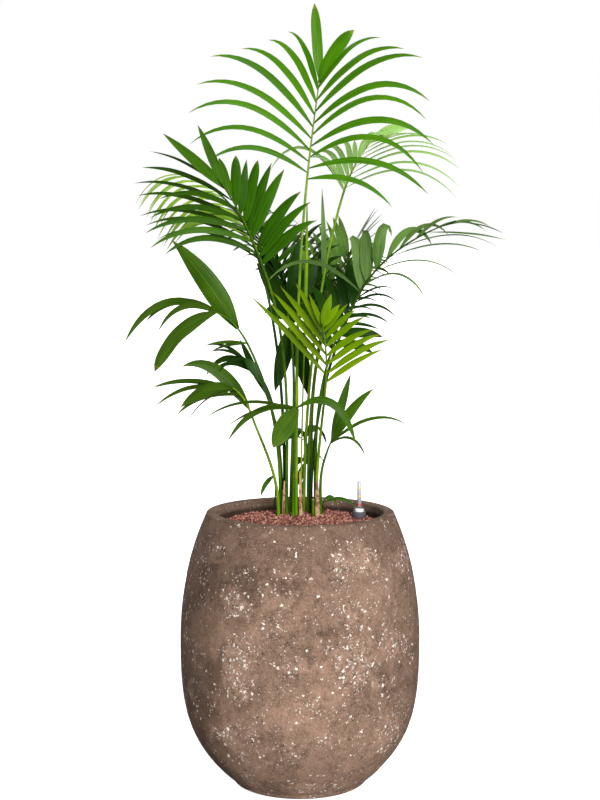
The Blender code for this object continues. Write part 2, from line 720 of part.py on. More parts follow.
def placed_leaflet(frond, leaflet, obstacles):
    """Turn or shorten a leaflet until it clears what is there; None if it never does."""
    root_along, direction, across, length, width, droop = leaflet
    root = rib_point(frond, min(max(root_along, FIRST_ROOT), LAST_ROOT)) - direction * ROOT_DEPTH
    for share in SHORTENINGS:
        for azimuth_turn, rise_turn in NUDGES:
            level = direction.cross(UP).normalized()
            nudge = Quaternion(UP, radians(azimuth_turn)) @ Quaternion(level, radians(rise_turn))
            path = blade_path(root, nudge @ direction, nudge @ across, length * share, droop)
            fat = blade_mesh(path, length * share, width, LEAF_CLEARANCE)
            tree = BVHTree.FromBMesh(fat)
            fat.free()
            lowest = min(point.z for point, side, forward in path)
            if lowest > PLANTER_HEIGHT and not any(tree.overlap(other) for other in obstacles):
                return blade_mesh(path, length * share, width), tree
    return None


def largest_piece(whole):
    """Delete every loose scrap of a bmesh but its largest piece."""
    waiting = set(whole.faces)
    pieces = []
    while waiting:
        piece = set()
        front = [waiting.pop()]
        while front:
            face = front.pop()
            piece.add(face)
            near = {other for edge in face.edges for other in edge.link_faces} & waiting
            waiting -= near
            front += near
        pieces.append(piece)
    pieces.sort(key=len)
    scrap = [face for piece in pieces[:-1] for face in piece]
    bmesh.ops.delete(whole, geom=scrap, context="FACES")


def tidied(mesh, weld):
    """Weld and simplify a union, keep its largest piece, and say if it is closed."""
    whole = bmesh.new()
    whole.from_mesh(mesh)
    bmesh.ops.remove_doubles(whole, verts=whole.verts, dist=weld)
    bmesh.ops.dissolve_degenerate(whole, edges=whole.edges, dist=weld)
    largest_piece(whole)
    bmesh.ops.triangulate(whole, faces=whole.faces)
    closed = all(len(edge.link_faces) == 2 for edge in whole.edges)
    closed = closed and all(face.calc_area() > LEAST_FACE for face in whole.faces)
    whole.to_mesh(mesh)
    whole.free()
    return closed


def fuse(rib, leaflets):
    """Join the leaflets to their rib in one union that is closed and drop the loose ones."""
    union = rib.modifiers.new("join", "BOOLEAN")
    union.operation = "UNION"
    union.operand_type = "COLLECTION"
    union.collection = leaflets
    for solver, weld in UNION_TRIES:
        union.solver = solver
        graph = bpy.context.evaluated_depsgraph_get()
        joined = bpy.data.meshes.new_from_object(rib.evaluated_get(graph))
        if tidied(joined, weld):
            break
    rib.modifiers.remove(union)
    joined.name = rib.name
    finish = rib.data.materials[0]
    rib.data = joined
    rib.data.materials.clear()
    rib.data.materials.append(finish)
    for leaflet in list(leaflets.objects):
        bpy.data.objects.remove(leaflet)
    bpy.data.collections.remove(leaflets)


def build_feather(frond, rib, obstacles, finish):
    """Add a frond's leaflets to its rib, clear of every other part."""
    leaflets = new_collection("leaflets_" + frond.name)
    wanted = [leaflet for row in frond.rows for leaflet in row_blades(frond, row)]
    wanted += [leaflet for fan in frond.fans for leaflet in fan_blades(frond, fan)]
    wanted += single_blades(frond)
    trees = []
    for index, leaflet in enumerate(wanted):
        found = placed_leaflet(frond, leaflet, obstacles)
        if found is None:
            continue
        blade, tree = found
        mesh = bpy.data.meshes.new("leaflet")
        blade.to_mesh(mesh)
        blade.free()
        place(f"leaflet_{frond.name}_{index}", mesh, leaflets, finish)
        trees.append(tree)
    fuse(rib, leaflets)
    return trees


def build_spear(collection, finish):
    """The rolled new leaf, a slender spindle on a thin stalk of its own."""
    points = stalk_points(SPEAR_FOOT, SPEAR_TIP, UP)
    last = len(points) - 1
    radii = []
    for index in range(len(points)):
        share = index / last
        slender = SPEAR_STALK_RADIUS + (SPEAR_TIP_RADIUS - SPEAR_STALK_RADIUS) * share
        swelling = sin(max(0.0, share - SPEAR_START) / (1.0 - SPEAR_START) * pi)
        radii.append(slender + (SPEAR_RADIUS - SPEAR_STALK_RADIUS) * swelling)
    return as_mesh(tapered_tube("new_spear", points, radii, collection, finish))


def build_sheath(sheath, collection, finish):
    """A dry leaf base: a bowed strip that stands on the growing medium and narrows upwards."""
    outward = heading(sheath.azimuth, 0.0)
    across = UP.cross(outward)
    strip = bmesh.new()
    sections = []
    for level in range(SHEATH_LEVELS + 1):
        share = level / SHEATH_LEVELS
        sideways = across * sin(radians(sheath.lean)) * sheath.height * share
        middle = Vector((*sheath.place, MEDIUM_TOP + GAP + sheath.height * share)) + sideways
        half = sheath.width / 2.0 * (1.0 - SHEATH_NARROWING * share)
        bowed = -SHEATH_BOW * half
        inner = [middle + across * half * stop + outward * abs(stop) * bowed for stop in (-1, 0, 1)]
        outer = [corner + outward * SHEATH_THICKNESS for corner in reversed(inner)]
        sections.append([strip.verts.new(corner) for corner in inner + outer])
    count = len(sections[0])
    strip.faces.new(sections[0])
    strip.faces.new(list(reversed(sections[-1])))
    for near, far in zip(sections, sections[1:]):
        for corner in range(count):
            following = (corner + 1) % count
            strip.faces.new((near[corner], near[following], far[following], far[corner]))
    bmesh.ops.triangulate(strip, faces=strip.faces)
    bmesh.ops.recalc_face_normals(strip, faces=strip.faces)
    mesh = bpy.data.meshes.new(sheath.name)
    strip.to_mesh(mesh)
    strip.free()
    return place(sheath.name, mesh, collection, finish)


def build_stub(collection, finish):
    """The stub of a stalk that was cut off."""
    bpy.ops.mesh.primitive_cylinder_add(
        vertices=8, radius=STUB_RADIUS, depth=STUB_HEIGHT,
        location=(*STUB_PLACE, MEDIUM_TOP + GAP + STUB_HEIGHT / 2.0))
    stub = bpy.context.object
    stub.name = "cut_stub"
    for holder in list(stub.users_collection):
        holder.objects.unlink(stub)
    collection.objects.link(stub)
    stub.data.materials.append(finish)
    return stub


def build_plant(collection):
    """Stalks, fronds, the rolled leaf, dry leaf bases and the cut stub."""
    stalk_finish = material("stalk_green", STALK_GREEN, 0.45)
    sheath_finish = material("sheath_tan", SHEATH_TAN, 0.85)
    obstacles = []
    for frond in FRONDS:
        obstacles.append(object_tree(build_stalk(frond, collection, stalk_finish)))
    obstacles.append(object_tree(build_spear(collection, stalk_finish)))
    obstacles.append(object_tree(build_stub(collection, stalk_finish)))
    for sheath in DRY_SHEATHS:
        obstacles.append(object_tree(build_sheath(sheath, collection, sheath_finish)))
    ribs = {}
    rib_trees = {}
    for frond in FRONDS:
        finish = material("leaf_" + frond.name, frond.green, 0.4)
        ribs[frond.name] = build_rib(frond, collection, finish)
        rib_trees[frond.name] = object_tree(ribs[frond.name])
    leaf_trees = []
    for frond in FRONDS:
        others = [tree for name, tree in rib_trees.items() if name != frond.name]
        finish = ribs[frond.name].data.materials[0]
        leaf_trees += build_feather(frond, ribs[frond.name], obstacles + others + leaf_trees, finish)


def main():
    """Build the whole potted palm."""
    clear_scene()
    collection = new_collection("kentia_palm")
    build_planter(collection)
    build_gauge(collection)
    build_plant(collection)


main()
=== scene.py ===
"""Looks of a potted kentia palm: leaflets, stalks, stone planter, clay granules and water gauge.

Metres, +Z up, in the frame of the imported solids: the origin is the middle of the planter's
flat underside and the front of the plant faces -Y. Every frond is grown again here by the
rule of its solid, a rib with leaflets that leave it in a given heading and bend down under
their weight. Headings are an azimuth from +X towards +Y and a rise above level, in degrees.
"""

import logging
import math
import random
from dataclasses import dataclass
from enum import Enum
from typing import Any, Callable, Iterable, Sequence

import bmesh
import bpy
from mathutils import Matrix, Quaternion, Vector, noise


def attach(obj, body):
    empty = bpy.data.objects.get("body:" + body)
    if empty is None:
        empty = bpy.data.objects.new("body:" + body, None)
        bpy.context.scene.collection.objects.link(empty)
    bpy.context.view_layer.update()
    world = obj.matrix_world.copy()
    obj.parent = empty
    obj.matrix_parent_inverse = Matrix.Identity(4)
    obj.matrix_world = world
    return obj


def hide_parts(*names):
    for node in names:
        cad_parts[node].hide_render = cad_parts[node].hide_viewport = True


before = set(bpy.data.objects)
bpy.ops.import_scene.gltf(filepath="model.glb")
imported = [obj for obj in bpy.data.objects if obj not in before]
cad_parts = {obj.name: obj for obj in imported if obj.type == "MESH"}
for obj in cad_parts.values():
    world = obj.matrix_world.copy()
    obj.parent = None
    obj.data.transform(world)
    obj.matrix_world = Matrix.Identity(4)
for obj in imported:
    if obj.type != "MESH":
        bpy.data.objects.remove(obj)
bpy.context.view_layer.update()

BODY = "root"
UP = Vector((0.0, 0.0, 1.0))
GAP = 0.0003
LOG = logging.getLogger("kentia_palm")

Colour = tuple[float, float, float]
Point = tuple[float, float, float]
Pair = tuple[float, float]
Spot = tuple[float, float, float, float, float]


class Tone(Enum):
    """The greens that the fronds come in; one carries painted sheen and one painted shade."""

    FRESH = "fresh"
    PALE = "pale"
    THIN = "thin"
    MIDDLE = "middle"
    # Painted sheen: paler, greyer greens that stand in for glossy reflections, over a real dark green.
    DUSTY = "dusty"
    DEEP = "deep"
    # Painted shade: a darker copy of the greens for fronds that lie in shadow among the others.
    SHADE = "shade"
    YOUNG = "young"


class StalkTone(Enum):
    """The greens that the stalks come in."""

    BRIGHT = "bright"
    MIDDLE = "middle"
    DARK = "dark"


# Node graphs


def sign(operation: str, swapped: bool = False) -> Callable[["Wire", Any], "Wire"]:
    """Make the method behind an arithmetic sign, which adds a maths node."""

    def reckon(wire: "Wire", other: Any) -> "Wire":
        """Add the node."""
        return wire.graph.maths(operation, *((other, wire) if swapped else (wire, other)))

    return reckon


class Wire:
    """An output of a node, which signs work on as on a number; | gives the larger of two."""

    __add__ = __radd__ = sign("ADD")
    __sub__ = sign("SUBTRACT")
    __rsub__ = sign("SUBTRACT", swapped=True)
    __mul__ = __rmul__ = sign("MULTIPLY")
    __truediv__ = sign("DIVIDE")
    __rtruediv__ = sign("DIVIDE", swapped=True)
    __or__ = __ror__ = sign("MAXIMUM")
    __gt__ = sign("GREATER_THAN")
    __lt__ = sign("LESS_THAN")

    def __init__(self, graph: "Graph", socket: bpy.types.NodeSocket) -> None:
        """Hold the socket and the graph that it is in."""
        self.graph = graph
        self.socket = socket
        self.wide = socket.type in ("VECTOR", "RGBA")


class Part:
    """A node in a graph, whose outputs are taken by name or number in square brackets."""

    def __init__(self, graph: "Graph", node: bpy.types.Node) -> None:
        """Hold the node and its graph."""
        self.graph = graph
        self.node = node

    def __getitem__(self, key: str | int) -> Wire:
        """One of its outputs."""
        return Wire(self.graph, self.node.outputs[key])


class Graph:
    """A node tree under construction, for shaders and for geometry alike."""

    WHOLE_KINDS = ("NodeGroup", "GeometryNode", "FunctionNode")

    def __init__(self, tree: bpy.types.NodeTree) -> None:
        """Start from a tree and take its nodes away."""
        self.tree = tree
        self.tree.nodes.clear()

    def put(self, target: bpy.types.NodeSocket, value: Any) -> None:
        """Link a socket to a wire or a part's first output, or set its value."""
        if isinstance(value, Part):
            value = value[0]
        if isinstance(value, Wire):
            self.tree.links.new(value.socket, target)
        else:
            target.default_value = value

    def add(self, kind: str, inputs: dict[Any, Any] | None = None, **settings: Any) -> Part:
        """Add a node.

        Args:
            kind: The node's type name, without the ShaderNode that it may start with.
            inputs: Values, wires or parts for its inputs, by name or number.
            settings: The node's own properties.

        Returns:
            The new node.
        """
        node = self.tree.nodes.new(kind if kind.startswith(self.WHOLE_KINDS) else "ShaderNode" + kind)
        for name, value in settings.items():
            setattr(node, name, value)
        for key, value in (inputs or {}).items():
            self.put(node.inputs[key], value)
        return Part(self, node)

    def maths(self, operation: str, *values: Any, clamp: bool = False) -> Wire:
        """Add a maths node, one for vectors where a value is a vector.

        Args:
            operation: What it does.
            values: What it works on.
            clamp: Whether a number is kept between 0 and 1.

        Returns:
            Its result.
        """
        wide = [isinstance(value, tuple) or isinstance(value, Wire) and value.wide for value in values]
        if not any(wide):
            return self.add("Math", dict(enumerate(values)), operation=operation, use_clamp=clamp)[0]
        if operation == "MULTIPLY" and not all(wide):
            vector, factor = values if wide[0] else values[::-1]
            return self.add("VectorMath", {0: vector, "Scale": factor}, operation="SCALE")[0]
        made = self.add("VectorMath", dict(enumerate(values)), operation=operation)
        return made["Value" if operation in ("DOT_PRODUCT", "LENGTH") else 0]

    def ramp(self, value: Any, low: float, high: float) -> Wire:
        """Bring a value from the range low to high to the range 0 to 1, eased at both ends."""
        return self.add("MapRange", {"Value": value, "From Min": low, "From Max": high},
                        interpolation_type="SMOOTHSTEP")[0]

    def mix(self, ground: Any, *coats: tuple[Any, Any]) -> Wire:
        """Lay coats over a ground colour, each told by its mask and its colour."""
        for mask, colour in coats:
            ground = self.add("Mix", {0: mask, 6: rgba(ground), 7: rgba(colour)}, data_type="RGBA")[2]
        return ground

    def noise(self, place: Any, scale: Any, detail: float = 3.0, **inputs: float) -> Wire:
        """Add a noise texture and give its value."""
        return self.add("TexNoise", {"Vector": place, "Scale": scale, "Detail": detail, **inputs})[0]

    def group(self, tree: bpy.types.NodeTree, **inputs: Any) -> Part:
        """Place a shader node group with its own values."""
        return self.add("Group", inputs, node_tree=tree)

    def mapped(self, place: Wire, **inputs: Point) -> Wire:
        """Move, turn or stretch the place where a pattern is read."""
        return self.add("Mapping", {"Vector": place, **inputs})[0]

    def bump(self, height: Any, strength: float, distance: float) -> Wire:
        """Turn a height into a normal."""
        return self.add("Bump", {"Height": height, "Strength": strength, "Distance": distance})[0]

    def turned(self, vector: Wire, axis: Wire, angle: Wire) -> Wire:
        """Turn a vector about an axis."""
        return self.add("VectorRotate", {"Vector": vector, "Axis": axis, "Angle": angle},
                        rotation_type="AXIS_ANGLE")[0]

    def read(self, name: str, kind: str = "FLOAT") -> Wire:
        """Read a named attribute."""
        made = self.add("GeometryNodeInputNamedAttribute", {"Name": name}, data_type=kind)
        return Wire(self, in_use(made.node.outputs))

    def store(self, geometry: Any, name: str, value: Any, kind: str = "FLOAT",
              domain: str = "POINT") -> Part:
        """Store a value as a named attribute."""
        made = self.add("GeometryNodeStoreNamedAttribute", {"Geometry": geometry, "Name": name},
                        data_type=kind, domain=domain)
        self.put(in_use(made.node.inputs, "Value"), value)
        return made

    def on_points(self, value: Wire) -> Wire:
        """Work a value out on the points, before faces and corners take it over."""
        made = self.add("GeometryNodeFieldOnDomain", data_type="FLOAT", domain="POINT")
        self.put(in_use(made.node.inputs), value)
        return Wire(self, in_use(made.node.outputs))

    def dressed(self, geometry: Any, material: Wire, where: Any = True) -> Part:
        """Give geometry its material, or a selected part of it."""
        return self.add("GeometryNodeSetMaterial", {
            "Geometry": geometry, "Selection": where, "Material": material})


def in_use(sockets: Iterable[bpy.types.NodeSocket], name: str = "") -> bpy.types.NodeSocket:
    """The first socket, of a name if one is given, that the node's settings leave in use."""
    return next(entry for entry in sockets if entry.enabled and name in ("", entry.name))


def rgba(colour: Any) -> Any:
    """Give a three-part colour its alpha, and leave anything else as it is."""
    return (*colour, 1.0) if isinstance(colour, tuple) and len(colour) == 3 else colour


def new_tree(name: str, kind: str, inputs: dict[str, Any], *outputs: str) -> tuple[Graph, Part]:
    """Start a node group with named inputs and outputs.

    Args:
        name: The group's name.
        kind: Shader, whose outputs are numbers, or Geometry.
        inputs: Its inputs, each with the number that it holds or the kind of thing that it carries.
        outputs: The names of its outputs.

    Returns:
        Its graph and its Group Input node.
    """
    tree = bpy.data.node_groups.new(name, kind + "NodeTree")
    for label, value in inputs.items():
        carried = value if isinstance(value, str) else type(value).__name__.capitalize()
        entry = tree.interface.new_socket(name=label, in_out="INPUT", socket_type="NodeSocket" + carried)
        if not isinstance(value, str):
            entry.default_value = value
    made = "Geometry" if kind == "Geometry" else "Float"
    for label in outputs:
        tree.interface.new_socket(name=label, in_out="OUTPUT", socket_type="NodeSocket" + made)
    graph = Graph(tree)
    return graph, graph.add("NodeGroupInput")


class Effects:
    """Shader node groups that several finishes use, each built once."""

    RAGGED_SCALE = 2.2
    RAGGED_PUSH = 1.8
    LEAST_SHARE = 0.015
    LARGEST_SPECK = 0.50

    def __init__(self) -> None:
        """Build the groups."""
        self.mottle = self._mottle()
        self.specks = self._specks()
        self.veins = self._veins()

    def _mottle(self) -> bpy.types.NodeTree:
        """Broad patches and fine grain, both from 0 to 1."""
        graph, given = new_tree(
            "mottle", "Shader", {"Place": "Vector", "Patches": 8.0, "Grain": 400.0}, "Broad", "Fine")
        broad = graph.noise(given["Place"], given["Patches"], 5.0, Roughness=0.6, Distortion=0.4)
        fine = graph.noise(given["Place"], given["Grain"], 2.0, Roughness=0.7)
        graph.add("NodeGroupOutput", {
            "Broad": graph.ramp(broad, 0.3, 0.7), "Fine": graph.ramp(fine, 0.25, 0.75)})
        return graph.tree

    def _specks(self) -> bpy.types.NodeTree:
        """Ragged specks of many sizes that gather in drifts, with the rims they sit in."""
        graph, given = new_tree("specks", "Shader", {
            "Place": "Vector", "Scale": 150.0, "Drift": 9.0, "Gather": 1.5, "Share": 0.2, "Extra": 0.0},
            "Mask", "Edge", "Haze")
        place, scale = given["Place"], given["Scale"]
        ragged = graph.add("TexNoise", {"Vector": place, "Scale": scale * self.RAGGED_SCALE, "Detail": 2.0})
        pushed = (ragged[1] - (0.5, 0.5, 0.5)) * (self.RAGGED_PUSH / scale)
        cells = graph.add("TexVoronoi", {"Vector": place + pushed, "Scale": scale})
        chosen = graph.add("SeparateColor", {0: cells["Color"]})[0]
        drifted = (graph.noise(place, given["Drift"], 3.0, Roughness=0.55) - 0.5) * given["Gather"]
        share = given["Share"] + given["Extra"] + drifted | self.LEAST_SHARE
        size = graph.maths("SQRT", (chosen - (1.0 - share)) / share | 0.0) * self.LARGEST_SPECK
        excess = size - cells["Distance"]
        mask = graph.ramp(excess, 0.0, 0.07)
        graph.add("NodeGroupOutput", {
            "Mask": mask, "Edge": graph.ramp(excess, -0.14, 0.0) - mask,
            "Haze": graph.ramp(share, 0.12, 0.45)})
        return graph.tree

    def _veins(self) -> bpy.types.NodeTree:
        """Fine veins along a leaflet, its midrib and its margins, from its own UV map."""
        graph, given = new_tree(
            "leaf_veins", "Shader", {"UV": "Vector", "Count": 7.0}, "Veins", "Midrib", "Margin")
        middle = graph.maths("ABSOLUTE", graph.add("SeparateXYZ", {0: given["UV"]})[0] - 0.5)
        turns = middle * given["Count"] * (4.0 * math.pi)
        graph.add("NodeGroupOutput", {
            "Veins": graph.maths("COSINE", turns) * 0.5 + 0.5,
            "Midrib": graph.ramp(middle, 0.055, 0.015), "Margin": graph.ramp(middle, 0.40, 0.50)})
        return graph.tree


# Finishes


@dataclass(frozen=True)
class Finish:
    """What all the finishes share: a name, and a material around what each paints."""

    name: str

    def build(self, effects: Effects) -> bpy.types.Material:
        """Make the material."""
        made = bpy.data.materials.new(self.name)
        made.use_nodes = True
        graph = Graph(made.node_tree)
        shader = graph.add("BsdfPrincipled")
        graph.add("OutputMaterial", {"Surface": shader})
        place = graph.add("TexCoord")["Object"]
        for name, value in self.paint(graph, effects, place).items():
            graph.put(shader.node.inputs[name], value)
        return made

    def paint(self, graph: Graph, effects: Effects, place: Wire) -> dict[str, Any]:
        """Work out what the shader's inputs hold.

        Args:
            graph: The material's graph.
            effects: The shared node groups.
            place: The place on the piece, in metres.

        Returns:
            Wires and numbers by the name of the shader's input.
        """
        raise NotImplementedError


@dataclass(frozen=True)
class StoneFinish(Finish):
    """Rough brown stone mix with drifts of white flecks, pits dark with painted shade and pale rubbed
    patches.

    A drift or dent is a soft spot on the front, told by x, height, half width, half height
    and weight.
    """

    name: str = "planter_stone"
    dark: Colour = (0.048, 0.030, 0.021)
    middle: Colour = (0.136, 0.082, 0.054)
    light: Colour = (0.405, 0.258, 0.183)
    fleck: Colour = (0.92, 0.80, 0.70)
    # Painted shade, for the rims, the pits and the wall inside.
    pit: Colour = (0.026, 0.016, 0.011)
    inside_radius: float = 0.168
    inside_height: float = 0.522
    drifts: tuple[Spot, ...] = (
        (0.118, 0.466, 0.034, 0.032, 0.36), (0.075, 0.455, 0.024, 0.036, 0.26),
        (-0.125, 0.4, 0.022, 0.024, 0.24), (-0.04, 0.362, 0.048, 0.018, 0.1),
        (-0.112, 0.27, 0.036, 0.08, 0.34), (-0.018, 0.292, 0.06, 0.026, 0.2),
        (0.1, 0.385, 0.046, 0.04, 0.18), (0.1, 0.29, 0.048, 0.076, 0.32),
        (0.168, 0.33, 0.024, 0.05, 0.24), (0.012, 0.222, 0.028, 0.036, 0.18),
        (-0.14, 0.145, 0.034, 0.026, 0.26), (0.16, 0.14, 0.03, 0.07, 0.22),
        (0.055, 0.14, 0.055, 0.022, 0.18), (0.196, 0.455, 0.018, 0.03, 0.24),
        (-0.09, 0.05, 0.04, 0.04, 0.16), (0.04, 0.052, 0.075, 0.04, 0.1),
        (-0.06, 0.105, 0.07, 0.04, 0.12), (-0.2, 0.2, 0.016, 0.06, 0.16))
    dents: tuple[Spot, ...] = (
        (-0.08, 0.44, 0.05, 0.05, 1.0), (-0.005, 0.442, 0.05, 0.052, 1.0),
        (0.055, 0.33, 0.07, 0.045, 0.7), (-0.165, 0.45, 0.04, 0.08, 0.8), (0.16, 0.24, 0.04, 0.05, 0.7))

    def paint(self, graph: Graph, effects: Effects, place: Wire) -> dict[str, Any]:
        """Lay patches, crumbs and drifts of flecks over the ground, with painted shade in the pits and rims,
        at the sides and top, and on the wall inside.
        """
        moved = graph.mapped(place, Location=(3.1, 1.7, 0.9))
        slanted = graph.mapped(place, Rotation=(0.4, 0.9, 0.3), Scale=(1.0, 1.0, 0.8))
        broad = graph.group(effects.mottle, Place=place, Patches=8.0, Grain=420.0)
        close = graph.group(effects.mottle, Place=moved, Patches=30.0, Grain=190.0)
        crumbs = graph.group(effects.mottle, Place=slanted, Patches=110.0, Grain=260.0)
        drifted = self._placed(graph, place, self.drifts)
        dented = self._placed(graph, place, self.dents)
        large = graph.group(effects.specks, Place=place, Scale=150.0, Drift=19.0, Gather=1.7,
                            Share=0.02, Extra=drifted * 1.5)
        small = graph.group(effects.specks, Place=moved, Scale=290.0, Drift=19.0, Gather=1.3,
                            Share=0.05, Extra=drifted * 0.9)
        pits = graph.group(effects.specks, Place=slanted, Scale=170.0, Drift=24.0, Gather=1.4,
                           Share=-0.05, Extra=dented * 0.24)["Mask"]
        # Rims round the flecks and the pits, sunk by the bump and darkened with painted shade.
        recess_and_shade = (large["Edge"] | small["Edge"] * 0.5) * 0.65 | pits * 0.6
        ground = graph.mix(
            self.dark,
            (broad["Broad"], self.middle),
            (close["Broad"] * (broad["Broad"] * 0.8 + 0.2) * 0.8, self.light),
            (crumbs["Broad"] * 0.42, self.light),
            (close["Fine"] * 0.42, self.dark),
            (graph.ramp(broad["Fine"], 0.30, 0.85) * 0.50, self.light),
            # Painted shade at the sides and towards the top.
            (self._weathering(graph, place, broad["Broad"]), self.dark),
            (large["Haze"] * crumbs["Broad"] * 0.60, self.light),
            (dented * (graph.ramp(close["Broad"], 0.7, 0.2) * 0.40 + 0.08), self.dark),
            # Painted shade in the rims and pits.
            (recess_and_shade, self.pit),
            ((large["Mask"] | small["Mask"] * 0.75) * 0.9, self.fleck),
            # Painted shade on the wall inside, below the lip.
            (self._inside(graph, place), self.pit))
        return {
            "Base Color": ground, "Roughness": broad["Fine"] * 0.12 + 0.82, "Specular IOR Level": 0.1,
            "Normal": graph.bump((broad["Fine"] + close["Fine"]) * 0.35 - recess_and_shade, 0.7, 0.0014)}

    @staticmethod
    def _placed(graph: Graph, place: Wire, spots: Sequence[Spot]) -> Wire:
        """Mask of soft spots on the front."""
        whole: Any = 0.0
        for across, height, wide, high, weight in spots:
            offset = (place - (across, 0.0, height)) * (1.0 / wide, 0.0, 1.0 / high)
            whole = graph.ramp(graph.maths("LENGTH", offset), 1.35, 0.3) * weight | whole
        return whole * graph.ramp(graph.add("SeparateXYZ", {0: place})[1], 0.0, -0.06)

    @staticmethod
    def _weathering(graph: Graph, place: Wire, broad: Wire) -> Wire:
        """Mask of painted shade: the stone darker at the sides and towards the top."""
        parts = graph.add("SeparateXYZ", {0: place})
        wandering = (broad - 0.5) * 0.09
        left = graph.ramp(parts[0] + wandering, -0.06, -0.22)
        right = graph.ramp(parts[0] + wandering, 0.14, 0.26)
        top = graph.ramp(parts[2] + wandering, 0.38, 0.54)
        return left * 0.62 | right * 0.42 | top * 0.42

    def _inside(self, graph: Graph, place: Wire) -> Wire:
        """Mask of painted shade on the wall inside the planter, below its lip."""
        parts = graph.add("SeparateXYZ", {0: place})
        low = graph.ramp(parts[2], self.inside_height + 0.003, self.inside_height - 0.006)
        level = graph.add("CombineXYZ", {0: parts[0], 1: parts[1]})[0]
        near = graph.ramp(graph.maths("LENGTH", level), self.inside_radius + 0.004, self.inside_radius)
        return low * (parts[2] > self.inside_height / 2.0) * near * 0.85


@dataclass(frozen=True)
class ClayFinish(Finish):
    """Fired clay granule in one shade."""

    colour: Colour
    dust: Colour

    def paint(self, graph: Graph, effects: Effects, place: Wire) -> dict[str, Any]:
        """Rub dust on the clay."""
        mottle = graph.group(effects.mottle, Place=place, Patches=190.0, Grain=1500.0)
        return {
            "Base Color": graph.mix(self.colour, (mottle["Broad"] * 0.5, self.dust)),
            "Roughness": 0.92, "Specular IOR Level": 0.1,
            "Normal": graph.bump(mottle["Fine"], 0.6, 0.0005)}


@dataclass(frozen=True)
class PlasticFinish(Finish):
    """Moulded plastic in one colour, with a faint moulded grain."""

    colour: Colour
    roughness: float
    alpha: float = 1.0

    def paint(self, graph: Graph, effects: Effects, place: Wire) -> dict[str, Any]:
        """Make the colour a little paler in patches."""
        mottle = graph.group(effects.mottle, Place=place, Patches=60.0, Grain=900.0)
        paler = tuple(min(1.0, part * 1.25 + 0.01) for part in self.colour)
        return {
            "Base Color": graph.mix(self.colour, (mottle["Broad"] * 0.5, paler)),
            "Roughness": self.roughness, "Alpha": self.alpha,
            "Normal": graph.bump(mottle["Fine"], 0.08, 0.0003)}


@dataclass(frozen=True)
class LeafFinish(Finish):
    """Satin leaf with veins along its length, a midrib and paler margins."""

    deep: Colour
    bright: Colour
    rib: Colour
    roughness: float = 0.26

    def paint(self, graph: Graph, effects: Effects, place: Wire) -> dict[str, Any]:
        """Blend the greens by leaflet, streak and patch, and draw the veins."""
        uv = graph.add("UVMap", uv_map="UVMap")[0]
        veins = graph.group(effects.veins, UV=uv, Count=5.0)
        streaks = graph.noise(uv * (14.0, 1.8, 1.0), 1.0, 3.0)
        patches = graph.noise(place, 14.0, 2.0)
        shade = graph.add("Attribute", attribute_name="shade")["Fac"]
        blend = (shade * 0.45 + graph.ramp(streaks, 0.35, 0.65) * 0.45
                 + graph.ramp(patches, 0.35, 0.65) * 0.30)
        return {
            "Base Color": graph.mix(
                self.deep, (blend, self.bright), (veins["Veins"] * 0.16, self.rib),
                (veins["Margin"] * 0.25, self.rib), (veins["Midrib"] * 0.30, self.rib)),
            "Roughness": streaks * 0.16 + self.roughness, "Specular IOR Level": 0.07,
            "Normal": graph.bump(veins["Veins"] * 0.5 + veins["Midrib"], 0.35, 0.0006)}


@dataclass(frozen=True)
class TipFinish(Finish):
    """Dried end of a leaflet, in one plain colour with a dull uneven surface."""

    colour: Colour

    def paint(self, graph: Graph, effects: Effects, place: Wire) -> dict[str, Any]:
        """Leave the colour plain and make the surface uneven."""
        mottle = graph.group(effects.mottle, Place=place, Patches=90.0, Grain=1100.0)
        return {
            "Base Color": rgba(self.colour), "Roughness": mottle["Broad"] * 0.2 + 0.6,
            "Specular IOR Level": 0.08, "Normal": graph.bump(mottle["Fine"], 0.3, 0.0003)}


@dataclass(frozen=True)
class StalkFinish(Finish):
    """Smooth green stalk with long streaks and yellower patches."""

    green: Colour
    yellow: Colour
    streak: Colour

    def paint(self, graph: Graph, effects: Effects, place: Wire) -> dict[str, Any]:
        """Draw streaks along the stalk."""
        drawn = graph.mapped(place, Scale=(1.0, 1.0, 0.05))
        streaks = graph.group(effects.mottle, Place=drawn, Patches=240.0, Grain=900.0)["Broad"]
        patches = graph.noise(place, 18.0, 3.0)
        return {
            "Base Color": graph.mix(
                self.green, (graph.ramp(patches, 0.35, 0.65), self.yellow), (streaks * 0.6, self.streak)),
            "Roughness": patches * 0.2 + 0.32, "Specular IOR Level": 0.12,
            "Normal": graph.bump(streaks, 0.3, 0.0004)}


@dataclass(frozen=True)
class DryFinish(Finish):
    """Dry leaf base: tan fibres with red-brown blotches."""

    name: str = "sheath_tan"
    tan: Colour = (0.34, 0.19, 0.095)
    brown: Colour = (0.16, 0.052, 0.024)
    pale: Colour = (0.50, 0.34, 0.20)

    def paint(self, graph: Graph, effects: Effects, place: Wire) -> dict[str, Any]:
        """Draw fibres upwards and blot them."""
        drawn = graph.mapped(place, Scale=(1.0, 1.0, 0.06))
        fibres = graph.group(effects.mottle, Place=drawn, Patches=500.0, Grain=1400.0)["Broad"]
        blotches = graph.ramp(graph.noise(place, 70.0, 4.0, Roughness=0.7), 0.46, 0.60)
        return {
            "Base Color": graph.mix(self.tan, (fibres, self.pale), (blotches, self.brown)),
            "Roughness": 0.85, "Normal": graph.bump(fibres, 0.6, 0.0006)}


